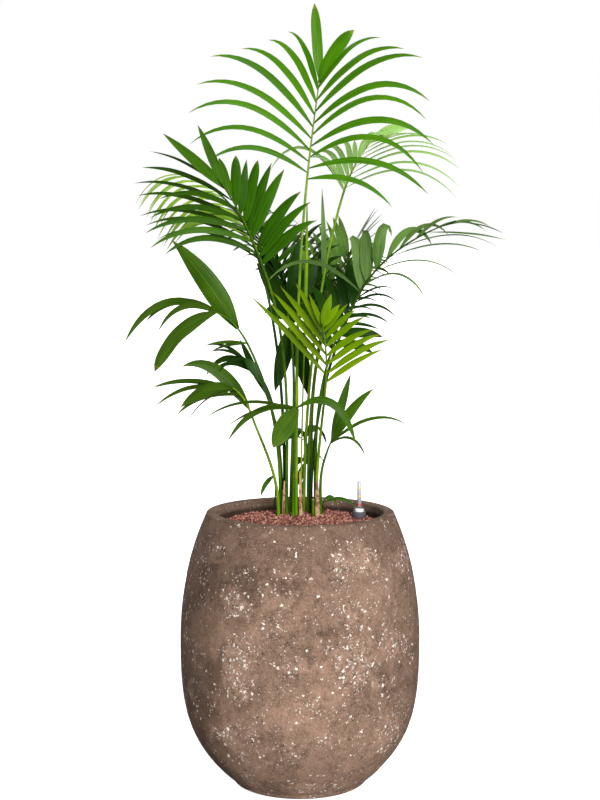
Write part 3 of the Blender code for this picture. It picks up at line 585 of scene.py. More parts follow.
@dataclass(frozen=True)
class FloorFinish(Finish):
    """Pale floor that glows a little for the camera and gives other rays less light back."""

    back: float
    glow: float

    def paint(self, graph: Graph, effects: Effects, place: Wire) -> dict[str, Any]:
        """Tell the camera's rays from the others."""
        seen = graph.add("LightPath")["Is Camera Ray"]
        faint = graph.ramp(graph.noise(place, 3.0), 0.0, 1.0)
        lit = graph.mix((0.93, 0.93, 0.93), (faint, (0.96, 0.96, 0.96)))
        return {
            "Base Color": graph.mix((self.back, self.back, self.back), (seen, lit)), "Roughness": 0.9,
            "Emission Color": (1.0, 1.0, 1.0, 1.0), "Emission Strength": seen * self.glow}


LEAF_COLOURS: dict[Tone, tuple[Colour, ...]] = {
    Tone.FRESH: (
        (0.008, 0.068, 0.0003), (0.055, 0.185, 0.001), (0.105, 0.23, 0.006),
        (0.018, 0.085, 0.001), (0.07, 0.2, 0.004), (0.115, 0.24, 0.012), (0.13, 0.19, 0.008)),
    Tone.PALE: (
        (0.11, 0.27, 0.03), (0.29, 0.5, 0.13), (0.39, 0.58, 0.2),
        (0.13, 0.29, 0.045), (0.31, 0.5, 0.15), (0.39, 0.57, 0.21), (0.26, 0.36, 0.07)),
    Tone.THIN: (
        (0.078, 0.222, 0.005), (0.282, 0.468, 0.038), (0.372, 0.54, 0.084),
        (0.096, 0.234, 0.012), (0.288, 0.462, 0.054), (0.372, 0.528, 0.102), (0.36, 0.456, 0.06)),
    # Painted sheen: the bright and rib greens are grey-green sheen over a dark green.
    Tone.DUSTY: (
        (0.009, 0.045, 0.001), (0.1, 0.2, 0.032), (0.18, 0.29, 0.085),
        (0.02, 0.062, 0.006), (0.11, 0.205, 0.048), (0.18, 0.29, 0.095), (0.21, 0.27, 0.06)),
    Tone.MIDDLE: (
        (0.003, 0.025, 0.0002), (0.04, 0.106, 0.002), (0.074, 0.15, 0.007),
        (0.008, 0.034, 0.001), (0.048, 0.108, 0.006), (0.078, 0.145, 0.013), (0.105, 0.13, 0.006)),
    Tone.DEEP: (
        (0.003, 0.021, 0.0002), (0.028, 0.108, 0.0004), (0.058, 0.15, 0.005),
        (0.008, 0.036, 0.001), (0.042, 0.128, 0.003), (0.07, 0.16, 0.01), (0.08, 0.115, 0.004)),
    # Painted shade: darker greens for fronds in shadow.
    Tone.SHADE: (
        (0.001, 0.01, 0.0), (0.011, 0.047, 0.001), (0.026, 0.069, 0.004),
        (0.003, 0.015, 0.001), (0.015, 0.053, 0.003), (0.029, 0.069, 0.007), (0.03, 0.056, 0.003)),
    Tone.YOUNG: (
        (0.033, 0.098, 0.0), (0.135, 0.246, 0.001), (0.176, 0.283, 0.002),
        (0.045, 0.107, 0.001), (0.139, 0.238, 0.002), (0.176, 0.271, 0.005), (0.189, 0.18, 0.004)),
}


def leaf_sides(tone: Tone) -> tuple[Finish, Finish, Finish]:
    """Finishes of the upper sides, undersides and dried ends in one of the greens."""
    name = "leaf_" + tone.value
    colours = LEAF_COLOURS[tone]
    return (LeafFinish(name, *colours[:3]), LeafFinish(name + "_under", *colours[3:6]),
            TipFinish(name + "_tip", colours[6]))


STALK_FINISHES: dict[StalkTone, StalkFinish] = {
    StalkTone.BRIGHT: StalkFinish(
        "stalk_bright", (0.110, 0.240, 0.002), (0.200, 0.320, 0.006), (0.045, 0.125, 0.002)),
    StalkTone.MIDDLE: StalkFinish(
        "stalk_middle", (0.038, 0.125, 0.001), (0.100, 0.195, 0.003), (0.015, 0.060, 0.001)),
    StalkTone.DARK: StalkFinish(
        "stalk_dark", (0.010, 0.046, 0.001), (0.032, 0.088, 0.002), (0.004, 0.022, 0.001)),
}

CLAY_FINISHES = (
    ClayFinish("clay_red", (0.230, 0.070, 0.045), (0.32, 0.14, 0.10)),
    ClayFinish("clay_pink", (0.460, 0.205, 0.150), (0.60, 0.34, 0.27)),
    ClayFinish("clay_plum", (0.080, 0.030, 0.027), (0.15, 0.065, 0.055)),
)


# Growth rule of the fronds


def heading(azimuth: float, rise: float) -> Vector:
    """Unit vector of an azimuth and a rise, both in degrees."""
    level = math.cos(math.radians(rise))
    return Vector((
        math.cos(math.radians(azimuth)) * level, math.sin(math.radians(azimuth)) * level,
        math.sin(math.radians(rise))))


def between(neck: Any, middle: Any, tip: Any, along: float) -> Any:
    """Value at a place along a rib, through the values at its neck, middle and tip."""
    rest = 1.0 - along
    return neck * rest * (rest - along) + middle * 4.0 * along * rest + tip * along * (along - rest)


@dataclass(frozen=True)
class Leaflet:
    """A leaflet ready to be grown; the higher its taper, the blunter its tip."""

    root: Vector
    heading: Vector
    across: Vector
    length: float
    width: float
    droop: float
    taper: float


@dataclass(frozen=True)
class Row:
    """A row of leaflets along one side of a rib.

    Each of neck, middle and tip is the azimuth, rise, length and droop of the leaflets
    there; width is given at the neck and the tip, face turns the leaflets about their own
    length, and span is the stretch of the rib that the row takes.
    """

    count: int
    span: Pair
    width: Pair
    face: float
    neck: tuple[float, float, float, float]
    middle: tuple[float, float, float, float]
    tip: tuple[float, float, float, float]
    sway: float = 1.2

    def grow(self, frond: "Frond", chance: random.Random) -> Iterable[Leaflet]:
        """The leaflets of the row, with small natural differences."""
        keys = (self.neck, self.middle, self.tip)
        for index in range(self.count):
            share = index / (self.count - 1)
            direction = between(*[heading(key[0], key[1]) for key in keys], share).normalized()
            turn = Quaternion(UP, math.radians(chance.uniform(-self.sway, self.sway)))
            level = direction.cross(UP).normalized()
            lift = Quaternion(level, math.radians(chance.uniform(-self.sway, self.sway)))
            length = between(*[key[2] for key in keys], share) * chance.uniform(0.98, 1.02)
            droop = between(*[key[3] for key in keys], share) * chance.uniform(0.95, 1.05)
            root, width = (pair[0] + (pair[1] - pair[0]) * share for pair in (self.span, self.width))
            yield frond.leaflet(root, turn @ lift @ direction, self.face, length, width, droop)


@dataclass(frozen=True)
class Fan:
    """A row whose leaflets are set one by one.

    Curves holds the rise, length and droop of each leaflet from the neck on; width and
    azimuth are given at the first and the last one.
    """

    span: Pair
    width: Pair
    face: float
    azimuth: Pair
    curves: tuple[tuple[float, float, float], ...]

    def grow(self, frond: "Frond", chance: random.Random) -> Iterable[Leaflet]:
        """The leaflets of the fan."""
        for index, (rise, length, droop) in enumerate(self.curves):
            share = index / (len(self.curves) - 1)
            root, width, azimuth = (
                pair[0] + (pair[1] - pair[0]) * share for pair in (self.span, self.width, self.azimuth))
            yield frond.leaflet(root, heading(azimuth, rise), self.face, length, width, droop)


@dataclass(frozen=True)
class Blade:
    """A single leaflet: its root along the rib, heading, size, droop and face."""

    root: float
    azimuth: float
    rise: float
    length: float
    width: float
    droop: float
    face: float
    taper: float = 2.2

    def grow(self, frond: "Frond", chance: random.Random) -> Iterable[Leaflet]:
        """The leaflet, which lies level until its face turns it."""
        direction = heading(self.azimuth, self.rise)
        level = direction.cross(UP).normalized()
        yield frond.leaflet(
            self.root, direction, self.face, self.length, self.width, self.droop, self.taper, level)


@dataclass(frozen=True)
class Frond:
    """A frond: its foot on the granules, three points of its rib, and what grows on it."""

    name: str
    tone: Tone
    stalk: StalkTone
    foot: Pair
    neck: Point
    middle: Point
    tip: Point
    growths: tuple[Row | Fan | Blade, ...]
    girth: float = 1.0
    first_root: float = 0.06
    last_root: float = 0.97
    root_depth: float = 0.0016

    def rib_point(self, along: float) -> Vector:
        """Point of the rib, from 0 at the neck to 1 at the tip."""
        rest = 1.0 - along
        return (rest * rest * Vector(self.neck) + 2.0 * rest * along * Vector(self.middle)
                + along * along * Vector(self.tip))

    def rib_direction(self, along: float) -> Vector:
        """Unit tangent of the rib."""
        neck, middle, tip = Vector(self.neck), Vector(self.middle), Vector(self.tip)
        return ((1.0 - along) * (middle - neck) + along * (tip - middle)).normalized()

    def leaflets(self, chance: random.Random) -> list[Leaflet]:
        """Every leaflet of the frond, in the order of its growths."""
        return [leaflet for growth in self.growths for leaflet in growth.grow(self, chance)]

    def leaflet(self, along: float, direction: Vector, face: float, length: float, width: float,
                droop: float, taper: float = Blade.taper, across: Vector | None = None) -> Leaflet:
        """Set a leaflet on the rib, with its root sunk in it and its upper side up.

        Args:
            along: Where it leaves the rib.
            direction: Its heading.
            face: How far it is turned about its own length, in degrees.
            length: Its length.
            width: Its greatest width.
            droop: How far it bends down.
            taper: How blunt its tip is.
            across: Its width direction before the turn, or else the one in the rib's plane.

        Returns:
            The leaflet.
        """
        if across is None:
            tangent = self.rib_direction(along)
            across = (tangent - direction * tangent.dot(direction)).normalized()
        across = Quaternion(direction, math.radians(face)) @ across
        if across.cross(direction).z < 0.0:
            across = -across
        root = self.rib_point(min(max(along, self.first_root), self.last_root)) - direction * self.root_depth
        return Leaflet(root, direction, across, length, width, droop, taper)


def blades(*numbers: tuple[float, ...]) -> tuple[Blade, ...]:
    """Single leaflets, each from its numbers in the order of Blade's fields."""
    return tuple(Blade(*row) for row in numbers)


FRONDS: tuple[Frond, ...] = (
    Frond("top", Tone.FRESH, StalkTone.BRIGHT, (-0.007, 0.03),
          (0.009, 0.05, 1.124), (0.019, 0.1, 1.235), (0.04, 0.17, 1.378), (
        Fan((0.26, 0.89), (0.012, 0.021), 0, (188, 190), (
            (36, 0.215, 1.18), (39, 0.259, 1.21), (45, 0.272, 1.11), (47, 0.263, 0.91),
            (54, 0.256, 0.87), (61, 0.205, 0.9), (69, 0.164, 0.9), (76, 0.136, 0.9))),
        Fan((0.21, 0.91), (0.013, 0.021), 0, (-8, -8), (
            (10, 0.186, 1.29), (17, 0.256, 1.27), (33, 0.258, 1.7), (34, 0.265, 1.33),
            (44, 0.261, 1.43), (43, 0.259, 1.26), (48, 0.249, 0.9), (51, 0.211, 0.9), (58, 0.168, 0.9))),
        *blades(
            (1.0, 180, 86, 0.15, 0.021, 0.0, 90, 5.0), (0.95, -10, 65, 0.125, 0.028, 0.6, 85, 5.0)))),
    Frond("right_back", Tone.PALE, StalkTone.BRIGHT, (0.008, 0.076),
          (0.085, 0.16, 1.143), (0.105, 0.22, 1.205), (0.148, 0.3, 1.256), (
        Row(8, (0.11, 0.92), (0.009, 0.01), 0,
            (-15, 28, 0.25, 1.35), (-10, 33, 0.22, 1.1), (-5, 28, 0.12, 0.9)),
        *blades(
            (0.06, 178, 69, 0.105, 0.011, 1.06, 80, 3.0), (0.14, 178, 74, 0.096, 0.012, 1.04, 80, 4.0),
            (0.27, 175, 77, 0.089, 0.012, 1.12, 80, 5.0), (0.38, 172, 85, 0.073, 0.012, 1.1, 80, 5.0),
            (0.52, 170, 88, 0.05, 0.011, 0.5, 80, 5.0), (0.64, 10, 78, 0.042, 0.011, 0.5, 80, 5.0),
            (0.74, 5, 77, 0.063, 0.01, 1.33, 70, 3.0), (0.86, 5, 63, 0.062, 0.009, 1.38, 65, 3.0),
            (1.0, 5, 34, 0.09, 0.022, 0.6, 60), (0.96, 20, 45, 0.09, 0.015, 0.8, 40),
            (0.06, 175, 62, 0.21, 0.008, 1.7, 60)))),
    Frond("left_front", Tone.DEEP, StalkTone.MIDDLE, (-0.026, 0.04),
          (-0.067, -0.05, 1.0), (-0.1, -0.09, 1.095), (-0.141, -0.16, 1.16), (
        Row(7, (0.09, 0.9), (0.009, 0.015), 0,
            (176, 38, 0.215, 1.0), (176, 30, 0.215, 0.7), (180, 38, 0.16, 0.5)),
        Row(5, (0.16, 0.66), (0.013, 0.012), 25,
            (186, 30, 0.19, 1.2), (184, 22, 0.2, 0.9), (186, 30, 0.15, 0.9)),
        *blades(
            (0.06, -8, 51, 0.135, 0.022, 0.6, 75), (0.13, -8, 56, 0.144, 0.022, 0.5, 75),
            (0.2, -8, 61, 0.14, 0.024, 0.5, 75), (0.33, -5, 69, 0.143, 0.024, 0.4, 75),
            (0.42, -5, 73, 0.133, 0.021, 0.3, 75), (0.5, -5, 79, 0.12, 0.021, 0.2, 78, 5.0),
            (0.3, 0, 97, 0.135, 0.019, 0.2, 100), (0.6, 0, 84, 0.103, 0.017, 0.2, 82),
            (0.7, 0, 90, 0.094, 0.02, 0.2, 80, 5.0), (0.82, 0, 105, 0.075, 0.016, 0.2, 80, 4.0),
            (1.0, 200, 67, 0.119, 0.017, 0.1, 80), (0.92, 204, 41, 0.156, 0.02, 0.1, 60)))),
    Frond("left_back", Tone.THIN, StalkTone.DARK, (-0.03, 0.053),
          (-0.085, 0.08, 1.03), (-0.125, 0.14, 1.15), (-0.235, 0.2, 1.185), (
        Row(9, (0.1, 1.0), (0.01, 0.009), 0,
            (160, 38, 0.19, 1.6), (165, 25, 0.17, 2.2), (170, 8, 0.13, 1.9)),
        Row(9, (0.13, 0.94), (0.01, 0.009), 0,
            (200, 35, 0.19, 1.6), (195, 12, 0.17, 2.2), (190, 0, 0.13, 1.9)))),
    Frond("right", Tone.DUSTY, StalkTone.DARK, (0.021, 0.048),
          (0.108, -0.02, 0.946), (0.155, -0.06, 1.045), (0.285, -0.12, 1.092), (
        *blades(
            (0.08, 175, 86, 0.114, 0.024, 1.06, 80, 4.0), (0.17, 175, 89, 0.105, 0.026, 1.0, 80, 4.0),
            (0.3, 20, 85, 0.112, 0.023, 1.35, 75), (0.42, 5, 65, 0.129, 0.016, 1.74, 60),
            (0.55, 5, 56, 0.123, 0.012, 1.56, 45), (0.7, 5, 47, 0.094, 0.01, 0.85, 40),
            (0.84, 0, 27, 0.107, 0.009, 1.16, 40), (0.12, -15, 38, 0.148, 0.011, 2.06, 20),
            (0.27, -15, 26, 0.191, 0.01, 1.33, 20), (0.44, -12, 23, 0.186, 0.008, 0.78, 20),
            (0.58, -12, 22, 0.183, 0.008, 0.86, 20), (0.8, -10, 1, 0.146, 0.008, 0.27, 20),
            (0.92, 0, 20, 0.09, 0.007, 0.9, 30), (1.0, -5, 0, 0.1, 0.01, 0.5, 0),
            (0.06, 175, 45, 0.21, 0.009, 1.5, 60)),)),
    Frond("young", Tone.YOUNG, StalkTone.BRIGHT, (0.031, 0.03),
          (0.048, -0.06, 0.779), (0.053, -0.1, 0.842), (0.04, -0.17, 0.908), (
        *blades(
            (0.2, 185, 49, 0.207, 0.012, 0.15, 75), (0.36, 184, 50, 0.16, 0.014, 0.15, 75),
            (0.52, 183, 52, 0.156, 0.013, 0.15, 75), (0.66, 182, 55, 0.14, 0.013, 0.15, 75),
            (0.82, 181, 63, 0.111, 0.012, 0.15, 75), (0.92, 180, 69, 0.069, 0.01, 0.15, 75),
            (1.0, -5, 75, 0.06, 0.016, 0.1, 80), (0.95, -8, 54, 0.053, 0.014, 0.15, 80),
            (0.09, -10, 38, 0.128, 0.013, 0.35, 70), (0.22, -10, 39, 0.139, 0.013, 0.45, 70),
            (0.36, -10, 40, 0.12, 0.013, 0.45, 70), (0.5, -10, 40, 0.104, 0.013, 0.45, 70),
            (0.64, -10, 45, 0.094, 0.013, 0.35, 70), (0.76, -10, 50, 0.081, 0.012, 0.35, 70),
            (0.86, -10, 54, 0.07, 0.011, 0.25, 70)),)),
    Frond("right_far", Tone.DUSTY, StalkTone.MIDDLE, (0.016, 0.059),
          (0.043, 0.12, 0.877), (0.064, 0.18, 0.974), (0.1, 0.26, 1.02), (
        Row(9, (0.06, 1.0), (0.028, 0.024), 0,
            (150, 60, 0.15, 0.5), (140, 68, 0.125, 0.5), (120, 72, 0.095, 0.5)),
        Row(9, (0.1, 0.94), (0.022, 0.014), 0,
            (10, 50, 0.14, 0.6), (20, 55, 0.16, 0.5), (30, 60, 0.13, 0.2)),
        *blades(
            (0.2, 180, 88, 0.245, 0.012, 0.0, 90)))),
    Frond("back", Tone.SHADE, StalkTone.DARK, (-0.01, 0.05),
          (-0.012, 0.12, 0.877), (-0.024, 0.18, 0.974), (-0.05, 0.32, 1.03), (
        Row(10, (0.06, 1.0), (0.026, 0.022), 0,
            (140, 55, 0.1, 0.7), (150, 65, 0.14, 0.7), (150, 60, 0.09, 0.5)),
        Row(10, (0.1, 0.94), (0.026, 0.022), 0,
            (0, 55, 0.13, 0.7), (10, 60, 0.15, 0.7), (30, 60, 0.09, 0.5)),
        *blades(
            (0.06, 200, -72, 0.14, 0.036, 0.3, 90), (0.06, -20, -76, 0.15, 0.034, 0.2, 90),
            (0.08, 170, 62, 0.14, 0.04, 0.3, 80), (0.08, 12, 72, 0.145, 0.04, 0.3, 80),
            (0.14, 175, 30, 0.06, 0.034, 0.9, 80), (0.14, 0, 35, 0.075, 0.034, 0.9, 80),
            (0.2, 5, 84, 0.15, 0.03, 0.1, 85)))),
    Frond("rear_left", Tone.DEEP, StalkTone.MIDDLE, (-0.018, 0.062),
          (-0.03, 0.15, 0.93), (-0.06, 0.23, 1.04), (-0.11, 0.38, 1.09), (
        Row(11, (0.06, 1.0), (0.02, 0.018), 0,
            (110, 35, 0.12, 1.0), (150, 45, 0.14, 1.2), (150, 40, 0.1, 1.0)),
        Row(11, (0.1, 0.94), (0.02, 0.018), 0,
            (20, 45, 0.12, 1.0), (40, 45, 0.14, 1.2), (60, 40, 0.1, 1.0)))),
    Frond("rear_right", Tone.DEEP, StalkTone.MIDDLE, (0.022, 0.064),
          (0.045, 0.15, 0.86), (0.075, 0.24, 0.96), (0.12, 0.38, 0.99), (
        Row(11, (0.06, 1.0), (0.02, 0.018), 0,
            (150, 50, 0.12, 1.0), (130, 50, 0.13, 1.2), (110, 40, 0.1, 1.0)),
        Row(11, (0.1, 0.94), (0.02, 0.018), 0,
            (0, 35, 0.1, 1.0), (20, 40, 0.12, 1.2), (30, 40, 0.1, 1.0)))),
    Frond("right_low", Tone.SHADE, StalkTone.MIDDLE, (0.03, 0.055),
          (0.06, 0.02, 0.84), (0.08, 0.05, 0.895), (0.115, 0.08, 0.945), (
        Row(6, (0.06, 1.0), (0.026, 0.024), 0,
            (150, 62, 0.12, 0.6), (120, 70, 0.12, 0.6), (90, 65, 0.1, 0.6)),
        Row(5, (0.5, 1.0), (0.007, 0.005), 30,
            (-10, 4, 0.075, 0.5), (-8, 26, 0.1, 1.4), (-5, 38, 0.08, 1.0)),
        *blades(
            (0.3, -5, 12, 0.09, 0.021, 0.6, 70), (0.16, -8, 2, 0.08, 0.019, 0.7, 70)))),
    Frond("left_mid", Tone.MIDDLE, StalkTone.MIDDLE, (-0.038, 0.04),
          (-0.096, -0.05, 0.856), (-0.122, -0.065, 0.912), (-0.159, -0.1, 0.924), (
        *blades(
            (0.38, 182, 59, 0.205, 0.042, 0.35, 95), (1.0, 190, -17, 0.165, 0.032, 1.8, 70, 6.0),
            (0.93, 185, 29, 0.21, 0.017, 2.1, 55), (0.8, 175, 32, 0.166, 0.016, 1.55, 60),
            (0.88, 195, 31, 0.142, 0.016, 2.05, 60), (0.06, 190, 8, 0.084, 0.008, 0.44, 60),
            (0.06, 186, 1, 0.073, 0.008, 0.59, 60)),)),
    Frond("left_low", Tone.MIDDLE, StalkTone.BRIGHT, (-0.042, 0.028),
          (-0.093, -0.05, 0.73), (-0.105, -0.06, 0.765), (-0.126, -0.07, 0.78), (
        *blades(
            (0.15, 185, 58, 0.165, 0.026, 1.05, 90), (1.0, 195, 4, 0.112, 0.03, 1.0, 75),
            (0.86, 190, 15, 0.165, 0.013, 1.1, 40), (0.76, 180, 20, 0.165, 0.012, 0.7, 40),
            (0.93, 202, -5, 0.125, 0.009, 1.6, 40), (0.95, 188, 18, 0.159, 0.01, 0.67, 45),
            (0.6, 185, 10, 0.136, 0.012, 1.2, 50)),)),
    Frond("left_small", Tone.SHADE, StalkTone.DARK, (-0.036, 0.062),
          (-0.08, -0.02, 0.796), (-0.095, -0.035, 0.825), (-0.108, -0.05, 0.837), (
        *blades(
            (1.0, 185, 39, 0.082, 0.009, 0.9, 50), (0.7, 190, 37, 0.076, 0.008, 0.87, 50),
            (0.88, 200, -3, 0.06, 0.01, 1.1, 50), (0.85, -10, -43, 0.066, 0.019, 1.0, 75),
            (0.6, -10, -55, 0.095, 0.014, 0.3, 75), (0.12, 150, 62, 0.075, 0.014, 0.1, 80),
            (0.06, 185, 49, 0.125, 0.018, 1.89, 60), (0.1, 182, 39, 0.095, 0.012, 1.4, 50)),)),
    Frond("centre_low", Tone.MIDDLE, StalkTone.MIDDLE, (-0.013, 0.02),
          (-0.009, -0.06, 0.709), (-0.008, -0.07, 0.735), (-0.004, -0.08, 0.745), (
        *blades(
            (1.0, -5, 33, 0.16, 0.017, 3.4, 60), (0.92, 185, 11, 0.159, 0.014, 1.8, 60),
            (0.84, 200, -52, 0.088, 0.042, 0.3, 80, 3.0), (0.72, 190, 20, 0.185, 0.01, 1.0, 40),
            (0.8, 188, 8, 0.142, 0.012, 0.93, 45)),)),
    Frond("right_front", Tone.MIDDLE, StalkTone.MIDDLE, (0.04, 0.04),
          (0.048, 0.0, 0.638), (0.055, -0.01, 0.662), (0.061, -0.02, 0.675), (
        *blades(
            (1.0, 0, 75, 0.135, 0.018, 0.1, 90), (0.9, -5, 60, 0.133, 0.02, 0.5, 90),
            (0.8, -10, 42, 0.168, 0.012, 1.1, 40), (0.7, -20, 40, 0.095, 0.007, 2.4, 40)),)),
    Frond("rear_low", Tone.DEEP, StalkTone.MIDDLE, (0.0, 0.074),
          (0.01, 0.14, 0.6), (0.01, 0.17, 0.64), (0.008, 0.2, 0.655), (
        *blades(
            (1.0, 100, 20, 0.15, 0.022, 1.6, 30), (0.92, 70, 25, 0.16, 0.02, 1.6, 30),
            (0.8, 118, 15, 0.14, 0.02, 1.4, 30), (0.4, 60, 0, 0.09, 0.018, 1.0, 30),
            (0.2, 110, 0, 0.08, 0.018, 1.0, 30), (0.06, 0, 76, 0.062, 0.017, 0.1, 85),
            (0.1, 185, -70, 0.05, 0.015, 0.2, 85)),)),
    Frond("right_shoot", Tone.DEEP, StalkTone.DARK, (0.044, 0.052),
          (0.044, 0.046, 0.538), (0.045, 0.043, 0.545), (0.047, 0.041, 0.549), (
        *blades(
            (1.0, -5, 55, 0.04, 0.007, 3.0, 60), (0.5, -12, 28, 0.075, 0.008, 1.4, 45)),), girth=0.5),
    Frond("left_shoot", Tone.DEEP, StalkTone.DARK, (-0.05, 0.046),
          (-0.049, 0.04, 0.585), (-0.05, 0.038, 0.593), (-0.051, 0.036, 0.598), (
        *blades(
            (1.0, 185, -30, 0.05, 0.01, 2.5, 75)),), girth=0.5),
)


# Mesh helpers


def new_object(mesh: bpy.types.Mesh) -> bpy.types.Object:
    """Put a mesh in the scene as an object of the same name at the origin."""
    thing = bpy.data.objects.new(mesh.name, mesh)
    bpy.context.scene.collection.objects.link(thing)
    return thing


def drawn_mesh(name: str, points: Iterable[Sequence[float]], edges: Sequence[Any] = (),
               faces: Sequence[Any] = ()) -> bpy.types.Mesh:
    """Make a mesh from plain lists."""
    mesh = bpy.data.meshes.new(name)
    mesh.from_pydata([tuple(point) for point in points], edges, faces)
    return mesh


def closed(name: str, shape: bmesh.types.BMesh) -> bpy.types.Object:
    """Turn an edit mesh into a smooth object whose faces point outwards, and free it."""
    bmesh.ops.recalc_face_normals(shape, faces=shape.faces)
    mesh = bpy.data.meshes.new(name)
    shape.to_mesh(mesh)
    shape.free()
    mesh.polygons.foreach_set("use_smooth", [True] * len(mesh.polygons))
    return new_object(mesh)


def turned(name: str, profile: Sequence[Pair], sides: int, finish: bpy.types.Material,
           centre: Pair = (0.0, 0.0)) -> bpy.types.Object:
    """Turn a profile about an upright line.

    Args:
        name: The object's name.
        profile: Radius and height, on the axis at both ends, from inside or top round to the outside.
        sides: Number of sides of the turned shape.
        finish: Its material.
        centre: Where the line stands.

    Returns:
        The object, closed and facing outwards.
    """
    shape = bmesh.new()
    rings = []
    for radius, height in profile:
        angles = [2.0 * math.pi * side / sides for side in range(sides if radius > 0.0 else 1)]
        rings.append([
            shape.verts.new((
                centre[0] + radius * math.cos(angle), centre[1] + radius * math.sin(angle), height))
            for angle in angles])
    for near, far in zip(rings, rings[1:]):
        for side in range(sides):
            following = (side + 1) % sides
            corners = [near[side % len(near)], near[following % len(near)],
                       far[following % len(far)], far[side % len(far)]]
            shape.faces.new(list(dict.fromkeys(corners)))
    thing = closed(name, shape)
    thing.data.materials.append(finish)
    return thing


def arc(centre: Pair, radii: Pair, start: float, stop: float, steps: int) -> list[Pair]:
    """Points of a profile's rounding after its first one.

    Args:
        centre: Radius and height of its middle.
        radii: Its reach outwards and upwards.
        start: Its first angle, in quarter turns from straight out towards straight up.
        stop: Its last angle.
        steps: Number of points.

    Returns:
        Radius and height of each point.
    """
    angles = [math.pi / 2.0 * (start + (stop - start) * step / steps) for step in range(1, steps + 1)]
    return [(centre[0] + radii[0] * math.cos(angle), centre[1] + radii[1] * math.sin(angle))
            for angle in angles]


def grown(thing: bpy.types.Object, graph: Graph, values: dict[str, Any], *drop: str) -> bpy.types.Object:
    """Run a geometry node tree on an object and keep its result as a plain mesh.

    Args:
        thing: The object whose mesh goes in.
        graph: The tree's graph.
        values: The tree's inputs by name.
        drop: Attributes of the points that the finished mesh has no use for.

    Returns:
        The same object with its new mesh.
    """
    modifier = thing.modifiers.new("grow", "NODES")
    modifier.node_group = graph.tree
    for item in graph.tree.interface.items_tree:
        if item.in_out == "INPUT" and item.name in values:
            modifier[item.identifier] = values[item.name]
    view = bpy.context.evaluated_depsgraph_get()
    mesh = bpy.data.meshes.new_from_object(thing.evaluated_get(view), depsgraph=view)
    mesh.name = thing.name
    thing.modifiers.remove(modifier)
    thing.data = mesh
    for name in drop:
        attribute = mesh.attributes.get(name)
        if attribute:
            mesh.attributes.remove(attribute)
    return thing


def mark(mesh: bpy.types.Mesh, name: str, values: Iterable[Any]) -> None:
    """Store one number or vector for each point of a mesh."""
    values = list(values)
    if isinstance(values[0], Vector):
        flat = [part for value in values for part in value]
        mesh.attributes.new(name, "FLOAT_VECTOR", "POINT").data.foreach_set("vector", flat)
    else:
        mesh.attributes.new(name, "FLOAT", "POINT").data.foreach_set("value", values)


def ship(thing: bpy.types.Object, slot: str, *nodes: str) -> None:
    """Hand a finished piece over: attach it to its body and hide the solids that it stands for."""
    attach(thing, BODY)
    if nodes:
        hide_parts(*nodes)
    LOG.info("%s: %d faces", thing.name, len(thing.data.polygons))


# Geometry node trees


